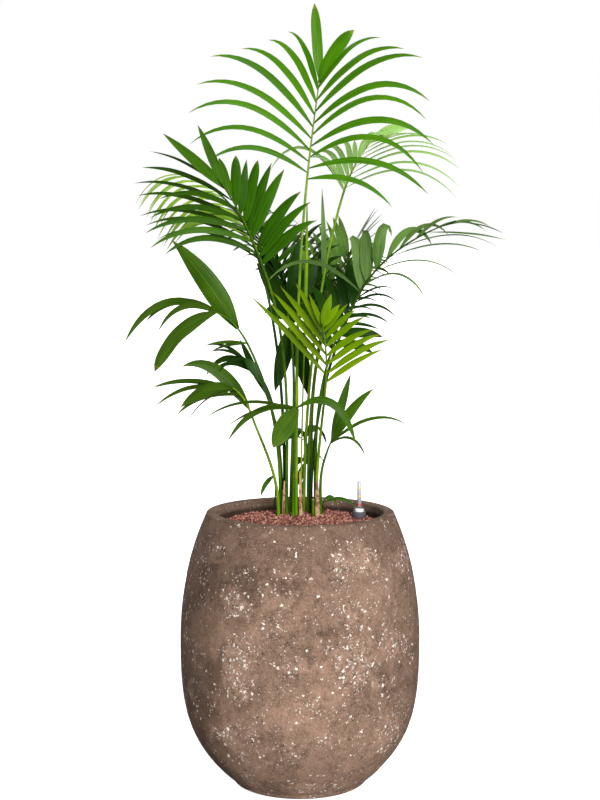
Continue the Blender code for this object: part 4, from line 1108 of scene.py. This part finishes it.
class LeafletTree:
    """Geometry nodes that grow a closed leaflet from every point of a mesh."""

    BEND_POWER = 1.6
    WIDEST = 0.38
    ROOT_WIDTH = 0.16
    NARROWING = 0.985
    WAVES = 16.0
    RIM = 0.97
    UNDERSIDE = -0.02

    def __init__(self, steps: int) -> None:
        """Build the tree.

        Args:
            steps: Number of stretches along a leaflet.
        """
        self.steps = steps
        self.graph, self.given = new_tree("leaflets", "Geometry", {
            "Points": "Geometry", "Sides": 4, "Thickness": 0.0006, "Crease": 0.12, "Ripple": 0.02,
            "Tip start": 0.94, "Upper": "Material", "Under": "Material", "Tip": "Material"}, "Leaflets")
        self._build()

    def _build(self) -> None:
        """Fill the tree: one closed sleeve for each point, bent along the leaflet's path."""
        graph, given = self.graph, self.given
        line = graph.add("GeometryNodeCurvePrimitiveLine", {"Start": (0.0, 0.0, 0.0), "End": (0.0, 0.0, 1.0)})
        cut = graph.add("GeometryNodeResampleCurve", {"Curve": line, "Count": self.steps + 1})
        circle = graph.add("GeometryNodeCurvePrimitiveCircle", {"Resolution": given["Sides"]})
        factor = graph.add("GeometryNodeSplineParameter")["Factor"]
        line, circle = graph.store(cut, "along", factor), graph.store(circle, "around", factor)
        sleeve = graph.add("GeometryNodeCurveToMesh",
                           {"Curve": line, "Profile Curve": circle, "Fill Caps": True})
        points = graph.add("GeometryNodeMeshToPoints", {"Mesh": given["Points"]})
        rooted = graph.store(points, "root", graph.add("GeometryNodeInputPosition"), "FLOAT_VECTOR")
        copies = graph.add("GeometryNodeInstanceOnPoints", {"Points": rooted, "Instance": sleeve})
        real = graph.add("GeometryNodeRealizeInstances", {"Geometry": copies})
        along = graph.read("along")
        angle = graph.read("around") * (2.0 * math.pi)
        sideways, upwards = graph.maths("COSINE", angle), graph.maths("SINE", angle)
        flat = graph.maths("ABSOLUTE", sideways)
        centre, side, normal = self._frame_along(along)
        width = self._width(along)
        half = graph.read("width") * width * 0.5
        waves = graph.maths("SINE", along * self.WAVES + graph.read("phase"))
        raised = ((1.0 - flat) * given["Crease"] + waves * flat * given["Ripple"]) * (half * 2.0)
        body = upwards * (given["Thickness"] * (width * 0.8 + 0.2))
        leaf = graph.add("GeometryNodeSetPosition", {
            "Geometry": real, "Position": centre + (side * (half * sideways) + normal * (raised + body))})
        uv = graph.add("CombineXYZ", {0: graph.on_points(sideways * 0.5 + 0.5), 1: along})
        leaf = graph.store(leaf, "UVMap", uv, "FLOAT2", "CORNER")
        leaf = graph.store(leaf, "sharp_edge", graph.on_points(flat) > self.RIM, "BOOLEAN", "EDGE")
        leaf = graph.add("GeometryNodeSetShadeSmooth", {"Geometry": leaf})
        leaf = graph.dressed(leaf, given["Upper"])
        leaf = graph.dressed(leaf, given["Under"], graph.on_points(upwards) < self.UNDERSIDE)
        leaf = graph.dressed(leaf, given["Tip"], graph.on_points(along) > given["Tip start"])
        graph.add("NodeGroupOutput", {"Leaflets": leaf})

    def _width(self, along: Wire) -> Wire:
        """Width along a leaflet, as a share of its widest."""
        graph = self.graph
        rising = graph.maths("SINE", along * (math.pi / 2.0 / self.WIDEST))
        past = (along - self.WIDEST | 0.0) / (1.0 - self.WIDEST)
        return graph.add("GeometryNodeSwitch", {
            "Switch": along > self.WIDEST, "False": rising * (1.0 - self.ROOT_WIDTH) + self.ROOT_WIDTH,
            "True": graph.maths("POWER", past, graph.read("taper")) * -self.NARROWING + 1.0},
            input_type="FLOAT")[0]

    def _forward(self, start: Wire, droop: Wire, along: Any) -> Wire:
        """Direction of a leaflet's path at a place along it."""
        sag = droop * self.graph.maths("POWER", along, self.BEND_POWER)
        return self.graph.maths("NORMALIZE", start - self.graph.add("CombineXYZ", {2: sag})[0])

    def _frame_along(self, along: Wire) -> tuple[Wire, Wire, Wire]:
        """Middle line of the leaflet with its side and upper directions.

        Args:
            along: The place along the leaflet, from 0 to 1.

        Returns:
            The point on the middle line, the direction across and the direction upwards.
        """
        graph = self.graph
        start = graph.read("heading", "FLOAT_VECTOR")
        droop = graph.read("droop")
        stride = graph.read("length") / float(self.steps)
        counted = along * float(self.steps)
        point = graph.read("root", "FLOAT_VECTOR")
        for step in range(self.steps):
            forward = self._forward(start, droop, (step + 1.0) / self.steps)
            point = point + forward * (graph.maths("SUBTRACT", counted, float(step), clamp=True) * stride)
        forward = self._forward(start, droop, along)
        axis = graph.maths("CROSS_PRODUCT", start, (0.0, 0.0, -1.0))
        cosine = graph.maths("MINIMUM", graph.maths("DOT_PRODUCT", start, forward), 1.0)
        side = graph.turned(graph.read("across", "FLOAT_VECTOR"), axis, graph.maths("ARCCOSINE", cosine))
        spun = graph.turned(side, forward, graph.read("twist") * along)
        return point, spun, graph.maths("CROSS_PRODUCT", spun, forward)


class StalkTree:
    """Geometry nodes that sweep a ribbed round stalk along a line of points."""

    def __init__(self) -> None:
        """Build the tree."""
        self.graph, given = new_tree("stalk", "Geometry", {
            "Line": "Geometry", "Sides": 12, "Length of a ring": 0.008, "Ridge": 0.05,
            "Finish": "Material"}, "Stalk")
        graph = self.graph
        line = graph.add("GeometryNodeMeshToCurve", {"Mesh": given["Line"]})
        soft = graph.add("GeometryNodeCurveSplineType", {"Curve": line}, spline_type="CATMULL_ROM")
        rings = graph.add("GeometryNodeResampleCurve", {
            "Curve": soft, "Length": given["Length of a ring"]}, mode="LENGTH")
        circle = graph.add("GeometryNodeCurvePrimitiveCircle", {
            "Resolution": given["Sides"], "Radius": 1.0})
        odd = graph.maths("MODULO", graph.add("GeometryNodeInputIndex")[0], 2.0)
        ridged = graph.add("GeometryNodeSetPosition", {
            "Geometry": circle,
            "Position": graph.add("GeometryNodeInputPosition")[0] * (1.0 - odd * given["Ridge"])})
        tube = graph.add("GeometryNodeCurveToMesh", {
            "Curve": rings, "Profile Curve": ridged, "Scale": graph.read("girth"), "Fill Caps": True})
        smooth = graph.add("GeometryNodeSetShadeSmooth", {"Geometry": tube})
        real = graph.add("GeometryNodeRealizeInstances", {"Geometry": smooth})
        graph.add("NodeGroupOutput", {"Stalk": graph.dressed(real, given["Finish"])})


class ScatterTree:
    """Geometry nodes that lay one of several small shapes on every point of a mesh."""

    WHOLE_TURN = 6.283
    LATER_FINISHES = (0.42, 0.74)

    def __init__(self, shapes: Sequence[bpy.types.Object]) -> None:
        """Build the tree.

        Args:
            shapes: The shapes that are dealt out at random, as the finishes are.
        """
        finishes = {f"Finish {index}": "Material" for index in range(len(CLAY_FINISHES))}
        self.graph, given = new_tree("granules", "Geometry", {
            "Points": "Geometry", "Seed": 7, "Smallest": 0.75, "Largest": 1.25, **finishes}, "Granules")
        graph = self.graph
        seed = given["Seed"]
        points = graph.add("GeometryNodeMeshToPoints", {"Mesh": given["Points"]})
        turn = self._dealt("FLOAT_VECTOR", seed, {0: (0.0, 0.0, 0.0), 1: (self.WHOLE_TURN,) * 3})[0]
        size = self._dealt("FLOAT", seed + 5.0, {2: given["Smallest"], 3: given["Largest"]})[1]
        kinds = graph.add("GeometryNodeJoinGeometry")
        for shape in reversed(shapes):
            info = graph.add("GeometryNodeObjectInfo", {"As Instance": True, "Object": shape})
            graph.put(kinds.node.inputs[0], info["Geometry"])
        kind = self._dealt("INT", seed + 9.0, {4: 0, 5: len(shapes) - 1})[2]
        laid = graph.add("GeometryNodeInstanceOnPoints", {
            "Points": points, "Instance": kinds, "Pick Instance": True, "Instance Index": kind,
            "Rotation": graph.add("FunctionNodeEulerToRotation", {0: turn}), "Scale": size})
        finish = self._dealt("FLOAT", seed + 13.0, {})[1]
        marked = graph.store(laid, "finish", finish, domain="INSTANCE")
        real = graph.add("GeometryNodeRealizeInstances", {"Geometry": marked})
        result = graph.dressed(graph.add("GeometryNodeSetShadeSmooth", {"Geometry": real}), given["Finish 0"])
        for index, start in enumerate(self.LATER_FINISHES, 1):
            result = graph.dressed(result, given[f"Finish {index}"], graph.read("finish") > start)
        graph.add("NodeGroupOutput", {"Granules": result})

    def _dealt(self, kind: str, seed: Wire, limits: dict[int, Any]) -> Part:
        """Deal a random value to every point."""
        return self.graph.add("FunctionNodeRandomValue", {**limits, "Seed": seed}, data_type=kind)


# Sub-assemblies


@dataclass
class Planter:
    """The turned stone planter, widest at its belly, with a thick rounded lip."""

    height: float = 0.535
    belly_radius: float = 0.232
    belly_height: float = 0.285
    shoulder_radius: float = 0.1805
    shoulder_power: float = 2.2
    heel_radius: float = 0.115
    heel_power: float = 3.35
    foot_radius: float = 0.100
    foot_rounding: float = 0.012
    mouth_radius: float = 0.161
    neck_radius: float = 0.190
    neck_height: float = 0.42
    lip_round: float = 0.0045
    wall: float = 0.030
    floor: float = 0.030
    sides: int = 360
    outer_rows: int = 150
    lip_rows: int = 8
    inner_rows: int = 26
    foot_rows: int = 6
    swell: float = 0.0011
    grain: float = 0.00035
    dent: float = 0.004
    worn: float = 0.0006

    def radius(self, height: float) -> float:
        """Outer radius at a height above the underside."""
        if height > self.belly_height:
            share = (height - self.belly_height) / (self.height - self.belly_height)
            end, power = self.shoulder_radius, self.shoulder_power
        else:
            share = (self.belly_height - height) / self.belly_height
            end, power = self.heel_radius, self.heel_power
        return self.belly_radius - (self.belly_radius - end) * share ** power

    def inner_radius(self, height: float) -> float:
        """Radius of the inner wall, which draws in below the mouth."""
        share = max(0.0, (height - self.neck_height) / (self.height - self.lip_round - self.neck_height))
        limit = self.neck_radius - (self.neck_radius - self.mouth_radius) * share ** 0.8
        return min(self.radius(height) - self.wall, limit)

    def profile(self) -> list[Pair]:
        """Radius and height from the middle of the inner floor, over the lip, to the underside."""
        shoulder = self.height - self.lip_round
        points = [(0.0, self.floor)]
        for row in range(self.inner_rows):
            height = self.floor + (shoulder - self.floor) * row / self.inner_rows
            points.append((self.inner_radius(height), height))
        lip = (self.lip_round, self.lip_round)
        points.append((self.mouth_radius, shoulder))
        points += arc((self.mouth_radius + self.lip_round, shoulder), lip, 2.0, 1.0, self.lip_rows)
        outer = self.radius(shoulder) - self.lip_round
        points.append((outer, self.height))
        points += arc((outer, shoulder), lip, 1.0, 0.0, self.lip_rows)
        for row in range(1, self.outer_rows + 1):
            height = shoulder + (self.foot_rounding - shoulder) * row / self.outer_rows
            points.append((self.radius(height), height))
        heel = self.radius(self.foot_rounding) - self.foot_radius
        points += arc((self.foot_radius, self.foot_rounding), (heel, self.foot_rounding), 0.0, -1.0,
                      self.foot_rows)
        points.append((0.0, 0.0))
        return points

    def relief(self, mesh: bpy.types.Mesh) -> None:
        """Give the wall its slight hand-made unevenness and shallow dents."""
        for vertex in mesh.vertices:
            place = vertex.co.copy()
            out = Vector((place.x, place.y, 0.0))
            inside = out.length < self.mouth_radius - 0.0005 and place.z < 0.5
            if place.z < 0.004 or out.length < 0.12 or inside:
                continue
            uneven = noise.noise(place * 9.0) * self.swell + noise.noise(place * 60.0) * self.grain
            dent = max(0.0, noise.noise(place * 34.0 + Vector((5.0, 2.0, 1.0))) - 0.42) * self.dent
            vertex.co += out.normalized() * (uneven - dent - self.worn)

    def build(self, finish: bpy.types.Material) -> None:
        """Make and dress the planter."""
        planter = turned("stone_planter", self.profile(), self.sides, finish)
        self.relief(planter.data)
        ship(planter, "planter_stone", "planter")


@dataclass
class GranuleBed:
    """The clay granules heaped on the growing medium, in a close layer and a loose one."""

    radius: float = 0.1455
    size: float = 0.0048
    top: float = 0.519
    ring: float = 0.5115
    flat_radius: float = 0.094
    ring_radius: float = 0.108
    seed: int = 23
    shapes: int = 4
    corners: int = 14
    spacing: Pair = (0.92, 1.12)
    lift: Pair = (-0.15, 0.42)

    def surface(self, distance: float) -> float:
        """Height of the growing medium at a distance from its middle."""
        share = (distance - self.flat_radius) / (self.ring_radius - self.flat_radius)
        return self.top + (self.ring - self.top) * min(max(share, 0.0), 1.0)

    def granule(self, index: int, chance: random.Random) -> bpy.types.Object:
        """One rounded, slightly angular granule."""
        shape = bmesh.new()
        for corner in range(self.corners):
            height = 1.0 - (2.0 * corner + 1.0) / self.corners
            angle = corner * math.pi * (3.0 - math.sqrt(5.0))
            level = math.sqrt(1.0 - height * height)
            height *= chance.uniform(0.8, 1.0)
            ray = Vector((math.cos(angle) * level, math.sin(angle) * level, height))
            shape.verts.new(ray * self.size * 0.5 * chance.uniform(0.86, 1.12))
        hull = bmesh.ops.convex_hull(shape, input=shape.verts)
        bmesh.ops.delete(shape, geom=hull["geom_interior"], context="VERTS")
        return closed(f"granule_{index}", shape)

    def build(self, finishes: Sequence[bpy.types.Material]) -> None:
        """Lay the granules and dress them.

        Args:
            finishes: One material for each shade of clay.
        """
        chance = random.Random(self.seed)
        shapes = [self.granule(index, chance) for index in range(self.shapes)]
        points = []
        for layer, (spacing, lift) in enumerate(zip(self.spacing, self.lift)):
            pitch = self.size * spacing
            rows = int(self.radius / pitch) + 1
            for row in range(-rows, rows + 1):
                for column in range(-rows, rows + 1):
                    x = (column + 0.5 * (row % 2) + 0.33 * layer) * pitch + chance.uniform(-0.3, 0.3) * pitch
                    y = row * pitch * 0.87 + chance.uniform(-0.3, 0.3) * pitch
                    distance = math.hypot(x, y)
                    if distance < self.radius:
                        height = self.surface(distance) + (self.size * lift + chance.uniform(-0.0010, 0.0010))
                        points.append((x, y, height))
        bed = new_object(drawn_mesh("clay_granules", points))
        values = {f"Finish {index}": finish for index, finish in enumerate(finishes)}
        grown(bed, ScatterTree(shapes).graph, {**values, "Seed": self.seed}, "finish")
        for shape in shapes:
            bpy.data.objects.remove(shape)
        ship(bed, "clay_granules")


@dataclass
class WaterGauge:
    """The water gauge: a clear tube with a float and marks, on a dark housing with a clear shell.

    Each band is a solid round piece, told by its name, where it starts and ends above the
    base or the shoulder, its radius and its finish.
    """

    place: Pair = (0.116, 0.045)
    base: float = 0.5118
    bulb_radius: float = 0.0130
    bulb_height: float = 0.024
    shell_drop: float = 0.011
    shell_rows: int = 12
    neck_radius: float = 0.0055
    tube_radius: float = 0.0043
    top: float = 0.586
    sides: int = 40
    largest_bevel: float = 0.0004

    def piece(self, name: str, profile: Sequence[Pair], finish: bpy.types.Material, *nodes: str) -> None:
        """Make and dress one turned piece of the gauge."""
        ship(turned(name, profile, self.sides, finish, self.place), "gauge_clear", *nodes)

    def band(self, name: str, low: float, high: float, radius: float, finish: bpy.types.Material) -> None:
        """A solid round band about the gauge's line."""
        bevel = min(self.largest_bevel, (high - low) * 0.3)
        self.piece(name, [
            (0.0, high), (radius - bevel, high), (radius, high - bevel), (radius, low + bevel),
            (radius - bevel, low), (0.0, low)], finish)

    def build(self, finishes: dict[str, bpy.types.Material]) -> None:
        """Make and dress the gauge.

        Args:
            finishes: Clear, milky, dark, white, yellow and red plastic, by these words.
        """
        base, bulb, shoulder = self.base, self.bulb_radius, self.base + self.bulb_height
        shell = [(0.0, shoulder), (self.neck_radius, shoulder)]
        shell += arc((self.neck_radius, shoulder - self.shell_drop),
                     (bulb - self.neck_radius, self.shell_drop), 1.0, 0.0, self.shell_rows)
        shell += [(bulb, base + 0.001), (bulb - 0.001, base), (0.0, base)]
        self.piece("gauge_shell", shell, finishes["clear"], "water_gauge_bulb")
        radius, foot = self.tube_radius, shoulder + GAP
        self.piece("gauge_tube", [
            (0.0, self.top), (radius - 0.0005, self.top), (radius, self.top - 0.0005), (radius, foot),
            (0.0, foot)], finishes["milky"], "water_gauge_tube")
        for name, low, high, reach, finish in (
                ("housing", base + 0.001, base + 0.0140, bulb - 0.0006, "dark"),
                ("collar", base + 0.0143, base + 0.0195, self.neck_radius + 0.0030, "white"),
                ("rod", foot + 0.0005, self.top - 0.001, radius * 0.90, "white"),
                ("float", shoulder + 0.003, shoulder + 0.0060, radius * 1.04, "red"),
                ("mark_low", shoulder + 0.020, shoulder + 0.0225, radius * 1.04, "yellow"),
                ("mark_high", shoulder + 0.036, shoulder + 0.0385, radius * 1.04, "yellow")):
            self.band("gauge_" + name, low, high, reach, finishes[finish])


@dataclass
class Stalks:
    """The stalks that rise from the granules and run on as the ribs of the fronds."""

    tree: StalkTree
    medium_top: float = 0.519
    foot_radius: float = 0.0034
    neck_radius: float = 0.0024
    tip_radius: float = 0.0012
    stiffness: float = 0.35
    upright: float = 0.010
    collar: float = 0.002
    steps: int = 16
    rib_steps: int = 8

    def line(self, foot: Pair, neck: Vector, arrival: Vector) -> list[Vector]:
        """Points of a stalk that rises upright from its foot and meets the neck along arrival."""
        bottom = Vector((*foot, self.medium_top + GAP))
        start = bottom + UP * self.upright
        end = neck - arrival * self.collar
        handle = (end - start).length * self.stiffness
        low = start + UP * handle
        high = end - arrival * handle
        points = [bottom]
        for step in range(self.steps):
            t = step / (self.steps - 1)
            s = 1.0 - t
            points.append(s ** 3 * start + 3 * s * s * t * low + 3 * s * t * t * high + t ** 3 * end)
        return points

    def swept(self, name: str, points: Sequence[Vector], radii: Iterable[float],
              finish: bpy.types.Material) -> bpy.types.Object:
        """Sweep a stalk along points with a radius at each."""
        mesh = drawn_mesh(name, points, [(index, index + 1) for index in range(len(points) - 1)])
        mark(mesh, "girth", radii)
        return grown(new_object(mesh), self.tree.graph, {"Finish": finish}, "girth")

    def build(self, frond: Frond, finish: bpy.types.Material) -> None:
        """Make and dress the stalk and rib of a frond."""
        points = self.line(frond.foot, Vector(frond.neck), frond.rib_direction(0.0))
        last = len(points) - 1
        radii = [self.foot_radius + (self.neck_radius - self.foot_radius) * index / last
                 for index in range(len(points))]
        for step in range(self.rib_steps + 1):
            along = step / self.rib_steps
            points.append(frond.rib_point(along))
            radii.append(self.neck_radius + (self.tip_radius - self.neck_radius) * along)
        radii = [radius * frond.girth for radius in radii]
        ship(self.swept("green_stalk_" + frond.name, points, radii, finish), "stalk_green",
             "stalk_" + frond.name)


@dataclass
class Foliage:
    """The leaflets of every frond, each with a twist, a shade and a wave of its own."""

    tree: LeafletTree
    seed: int = 11
    traits: tuple[str, ...] = ("heading", "across", "length", "width", "droop", "taper")
    spreads: tuple[tuple[str, float, float], ...] = (
        ("twist", -0.35, 0.35), ("shade", 0.0, 1.0), ("phase", 0.0, 6.28))

    def build(self, frond: Frond, finishes: Sequence[bpy.types.Material]) -> None:
        """Grow and dress the leaflets of a frond.

        Args:
            frond: The frond.
            finishes: Those of the upper sides, of the undersides and of the dried ends.
        """
        chance = random.Random(f"{self.seed} {frond.name}")
        leaflets = frond.leaflets(chance)
        mesh = drawn_mesh("leaflets_" + frond.name, [leaflet.root for leaflet in leaflets])
        for trait in self.traits:
            mark(mesh, trait, [getattr(leaflet, trait) for leaflet in leaflets])
        for name, low, high in self.spreads:
            mark(mesh, name, [chance.uniform(low, high) for _ in leaflets])
        piece = grown(
            new_object(mesh), self.tree.graph, dict(zip(("Upper", "Under", "Tip"), finishes)),
            *self.traits, "twist", "phase", "root", "along", "around")
        ship(piece, "leaf_" + frond.name, "frond_" + frond.name)


@dataclass
class SmallGrowth:
    """The rolled new leaf, the cut stub and the dry leaf bases at the foot of the stalks.

    A dry leaf base is told by the first six arguments of build_sheath.
    """

    stalks: Stalks
    spear_foot: Pair = (0.002, 0.046)
    spear_tip: Point = (0.0135, 0.066, 1.128)
    spear_radius: float = 0.0046
    spear_stalk_radius: float = 0.0020
    spear_tip_radius: float = 0.0012
    spear_start: float = 0.55
    stub_place: Pair = (0.0255, 0.018)
    stub_radius: float = 0.0026
    stub_height: float = 0.036
    stub_sides: int = 18
    stub_dry_length: float = 0.004
    sheath_levels: int = 18
    sheath_columns: int = 8
    sheath_thickness: float = 0.0024
    sheath_fray: float = 0.004
    sheaths: tuple[tuple[str, Pair, float, float, float, float], ...] = (
        ("left", (-0.0325, 0.022), -95, 0.0060, 0.072, 2.0),
        ("middle", (0.0015, 0.020), -85, 0.0065, 0.092, -1.0),
        ("right", (0.0345, 0.016), -80, 0.0100, 0.072, -1.5))

    def build(self, bright: bpy.types.Material, green: bpy.types.Material,
              dry: bpy.types.Material) -> None:
        """Make and dress all of it.

        Args:
            bright: Finish of the rolled leaf.
            green: Finish of the cut stub.
            dry: Finish of the stub's end and the leaf bases.
        """
        self.build_spear(bright)
        self.build_stub(green, dry)
        for sheath in self.sheaths:
            self.build_sheath(*sheath, dry)

    def build_spear(self, finish: bpy.types.Material) -> None:
        """Make and dress the rolled new leaf."""
        points = self.stalks.line(self.spear_foot, Vector(self.spear_tip), UP)
        radii = []
        for index in range(len(points)):
            share = index / (len(points) - 1)
            slender = self.spear_stalk_radius + (self.spear_tip_radius - self.spear_stalk_radius) * share
            swelling = math.sin(max(0.0, share - self.spear_start) / (1.0 - self.spear_start) * math.pi)
            radii.append(slender + (self.spear_radius - self.spear_stalk_radius) * swelling)
        ship(self.stalks.swept("rolled_leaf", points, radii, finish), "stalk_green", "new_spear")

    def build_stub(self, green: bpy.types.Material, dry: bpy.types.Material) -> None:
        """Make and dress the cut stub, with its pale dry end."""
        foot = self.stalks.medium_top + GAP
        top = foot + self.stub_height
        radius = self.stub_radius
        stub = turned("cut_stalk", [
            (0.0, top - 0.0008), (radius * 0.55, top - 0.0006), (radius * 0.85, top), (radius, top - 0.0012),
            (radius, foot + 0.012), (radius * 1.1, foot), (0.0, foot)],
            self.stub_sides, green, self.stub_place)
        stub.data.materials.append(dry)
        for face in stub.data.polygons:
            face.material_index = int(face.center.z > top - self.stub_dry_length)
        ship(stub, "stalk_green", "cut_stub")

    def build_sheath(self, side: str, place: Pair, azimuth: float, width: float, height: float,
                     lean: float, finish: bpy.types.Material) -> None:
        """Make and dress a dry leaf base: a bowed, frayed strip that narrows upwards.

        Args:
            side: Its side, as in the name of its solid.
            place: Where its foot stands on the granules.
            azimuth: The way it faces, in degrees.
            width: Its width at the foot.
            height: Its height.
            lean: How far it leans to the side, in degrees.
            finish: Its material.
        """
        node = "dry_sheath_" + side
        chance = random.Random(node)
        outward = heading(azimuth, 0.0)
        across = UP.cross(outward)
        foot = Vector((*place, self.stalks.medium_top + GAP))
        strip = bmesh.new()
        rows = []
        for level in range(self.sheath_levels + 1):
            share = level / self.sheath_levels
            middle = foot + UP * height * share + across * math.sin(math.radians(lean)) * height * share
            waist = 1.0 + 0.10 * math.sin(share * 17.0 + len(node))
            half = width / 2.0 * (1.0 - 0.55 * share ** 1.3) * waist
            front = []
            back = []
            for column in range(self.sheath_columns + 1):
                stop = column / self.sheath_columns * 2.0 - 1.0
                crest = 0.00035 * math.cos(stop * 9.0 + share * 5.0)
                ragged = chance.uniform(0.0, self.sheath_fray) if level == self.sheath_levels else 0.0
                base = middle + across * half * stop - outward * (0.3 * half * abs(stop)) - UP * ragged
                front.append(strip.verts.new(base + outward * (self.sheath_thickness + crest)))
                back.append(strip.verts.new(base))
            rows.append(front + back[::-1])
        strip.faces.new(rows[0])
        strip.faces.new(rows[-1][::-1])
        for near, far in zip(rows, rows[1:]):
            for corner in range(len(near)):
                strip.faces.new((near[corner - 1], near[corner], far[corner], far[corner - 1]))
        sheath = closed("leaf_base_" + side, strip)
        sheath.data.materials.append(finish)
        ship(sheath, "sheath_tan", node)


@dataclass
class Studio:
    """Pale floor, soft lights and the camera at the photograph's angle."""

    camera_place: Point = (0.0, -3.4, 1.095)
    target: Point = (0.0, 0.0, 0.750)
    lens: float = 80.2
    sensor: float = 36.0
    floor_half: float = 60.0
    floor_return: float = 0.36
    floor_glow: float = 0.85
    light_around: float = 0.04
    light_above: float = 0.40
    light_front: float = 0.15

    def build(self, effects: Effects) -> None:
        """Set up floor, lights, world and camera."""
        self._floor(effects)
        self._world()
        self._sun("key", (0.85, -2.7, 1.05), 30.0, 4.6)
        self._sun("fill", (-1.2, 2.6, 0.9), 60.0, 1.5)
        camera = bpy.data.cameras.new("camera")
        camera.lens = self.lens
        camera.sensor_width = self.sensor
        bpy.context.scene.camera = self._aimed(camera, self.camera_place, self.target)

    @staticmethod
    def _aimed(data: bpy.types.ID, place: Point, target: Point) -> bpy.types.Object:
        """Put a camera or lamp at a place, looking at a target."""
        thing = bpy.data.objects.new(data.name, data)
        thing.location = place
        thing.rotation_euler = (Vector(target) - Vector(place)).to_track_quat("-Z", "Y").to_euler()
        bpy.context.scene.collection.objects.link(thing)
        return thing

    def _sun(self, name: str, place: Point, softness: float, strength: float) -> None:
        """A soft light from far away, which reaches the whole floor alike.

        Args:
            name: The light's name.
            place: Where it comes from, seen from the origin.
            softness: The angle that it spans, in degrees.
            strength: Its power.
        """
        lamp = bpy.data.lights.new(name, "SUN")
        lamp.angle = math.radians(softness)
        lamp.energy = strength
        self._aimed(lamp, place, (0.0, 0.0, 0.0))

    def _floor(self, effects: Effects) -> None:
        """The pale floor, which glows a little for the camera alone."""
        half = self.floor_half
        corners = [(-half, -half, 0.0), (half, -half, 0.0), (half, half, 0.0), (-half, half, 0.0)]
        floor = new_object(drawn_mesh("floor", corners, faces=[(0, 1, 2, 3)]))
        finish = FloorFinish("floor_pale", self.floor_return, self.floor_glow)
        floor.data.materials.append(finish.build(effects))

    def _world(self) -> None:
        """A white surrounding whose light comes from above and in front."""
        world = bpy.data.worlds.new("studio")
        world.use_nodes = True
        bpy.context.scene.world = world
        graph = Graph(world.node_tree)
        way = graph.add("SeparateXYZ", {0: graph.add("TexCoord")["Generated"]})
        above, front = way[2] | 0.0, way[1] * -1.0 | 0.0
        lit = above * self.light_above + self.light_around + front * self.light_front
        seen = graph.add("LightPath")["Is Camera Ray"]
        background = graph.add("Background", {
            "Color": (1.0, 1.0, 1.0, 1.0), "Strength": seen * (1.0 - lit) + lit})
        graph.add("OutputWorld", {"Surface": background})
        bpy.context.scene.view_settings.view_transform = "Standard"


def dress_node(name: str, finish: bpy.types.Material) -> None:
    """Give a solid that stays in view its finish."""
    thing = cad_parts[name]
    for slot in thing.material_slots:
        slot.material = finish
    if not thing.material_slots:
        thing.data.materials.append(finish)


def main() -> None:
    """Build the palm, its planter and the studio."""
    logging.basicConfig(level=logging.INFO, format="%(message)s")
    effects = Effects()
    Planter().build(StoneFinish().build(effects))
    GranuleBed().build([finish.build(effects) for finish in CLAY_FINISHES])
    # Painted shade: the medium under the granules is darker than the clay, so the gaps between the granules
    # read dark.
    deep = ClayFinish("clay_deep", (0.060, 0.030, 0.030), (0.16, 0.08, 0.07))
    liner = PlasticFinish("liner_plastic", (0.012, 0.012, 0.013), 0.45)
    dress_node("growing_medium", deep.build(effects))
    dress_node("inner_pot", liner.build(effects))
    WaterGauge().build({word: PlasticFinish("gauge_" + word, *look).build(effects) for word, look in {
        "clear": ((0.70, 0.70, 0.78), 0.30, 0.08),
        "milky": ((0.46, 0.46, 0.50), 0.35, 0.94),
        "dark": ((0.018, 0.011, 0.022), 0.75),
        "white": ((0.80, 0.80, 0.82), 0.4),
        "yellow": ((0.75, 0.52, 0.03), 0.4),
        "red": ((0.55, 0.02, 0.015), 0.4)}.items()})
    stalks = Stalks(StalkTree())
    foliage = Foliage(LeafletTree(steps=14))
    stalk_finishes = {tone: finish.build(effects) for tone, finish in STALK_FINISHES.items()}
    leaf_finishes = {tone: [finish.build(effects) for finish in leaf_sides(tone)] for tone in LEAF_COLOURS}
    for frond in FRONDS:
        stalks.build(frond, stalk_finishes[frond.stalk])
        foliage.build(frond, leaf_finishes[frond.tone])
    SmallGrowth(stalks).build(
        stalk_finishes[StalkTone.BRIGHT], stalk_finishes[StalkTone.MIDDLE], DryFinish().build(effects))
    Studio().build(effects)


if __name__ == "__main__":
    main()
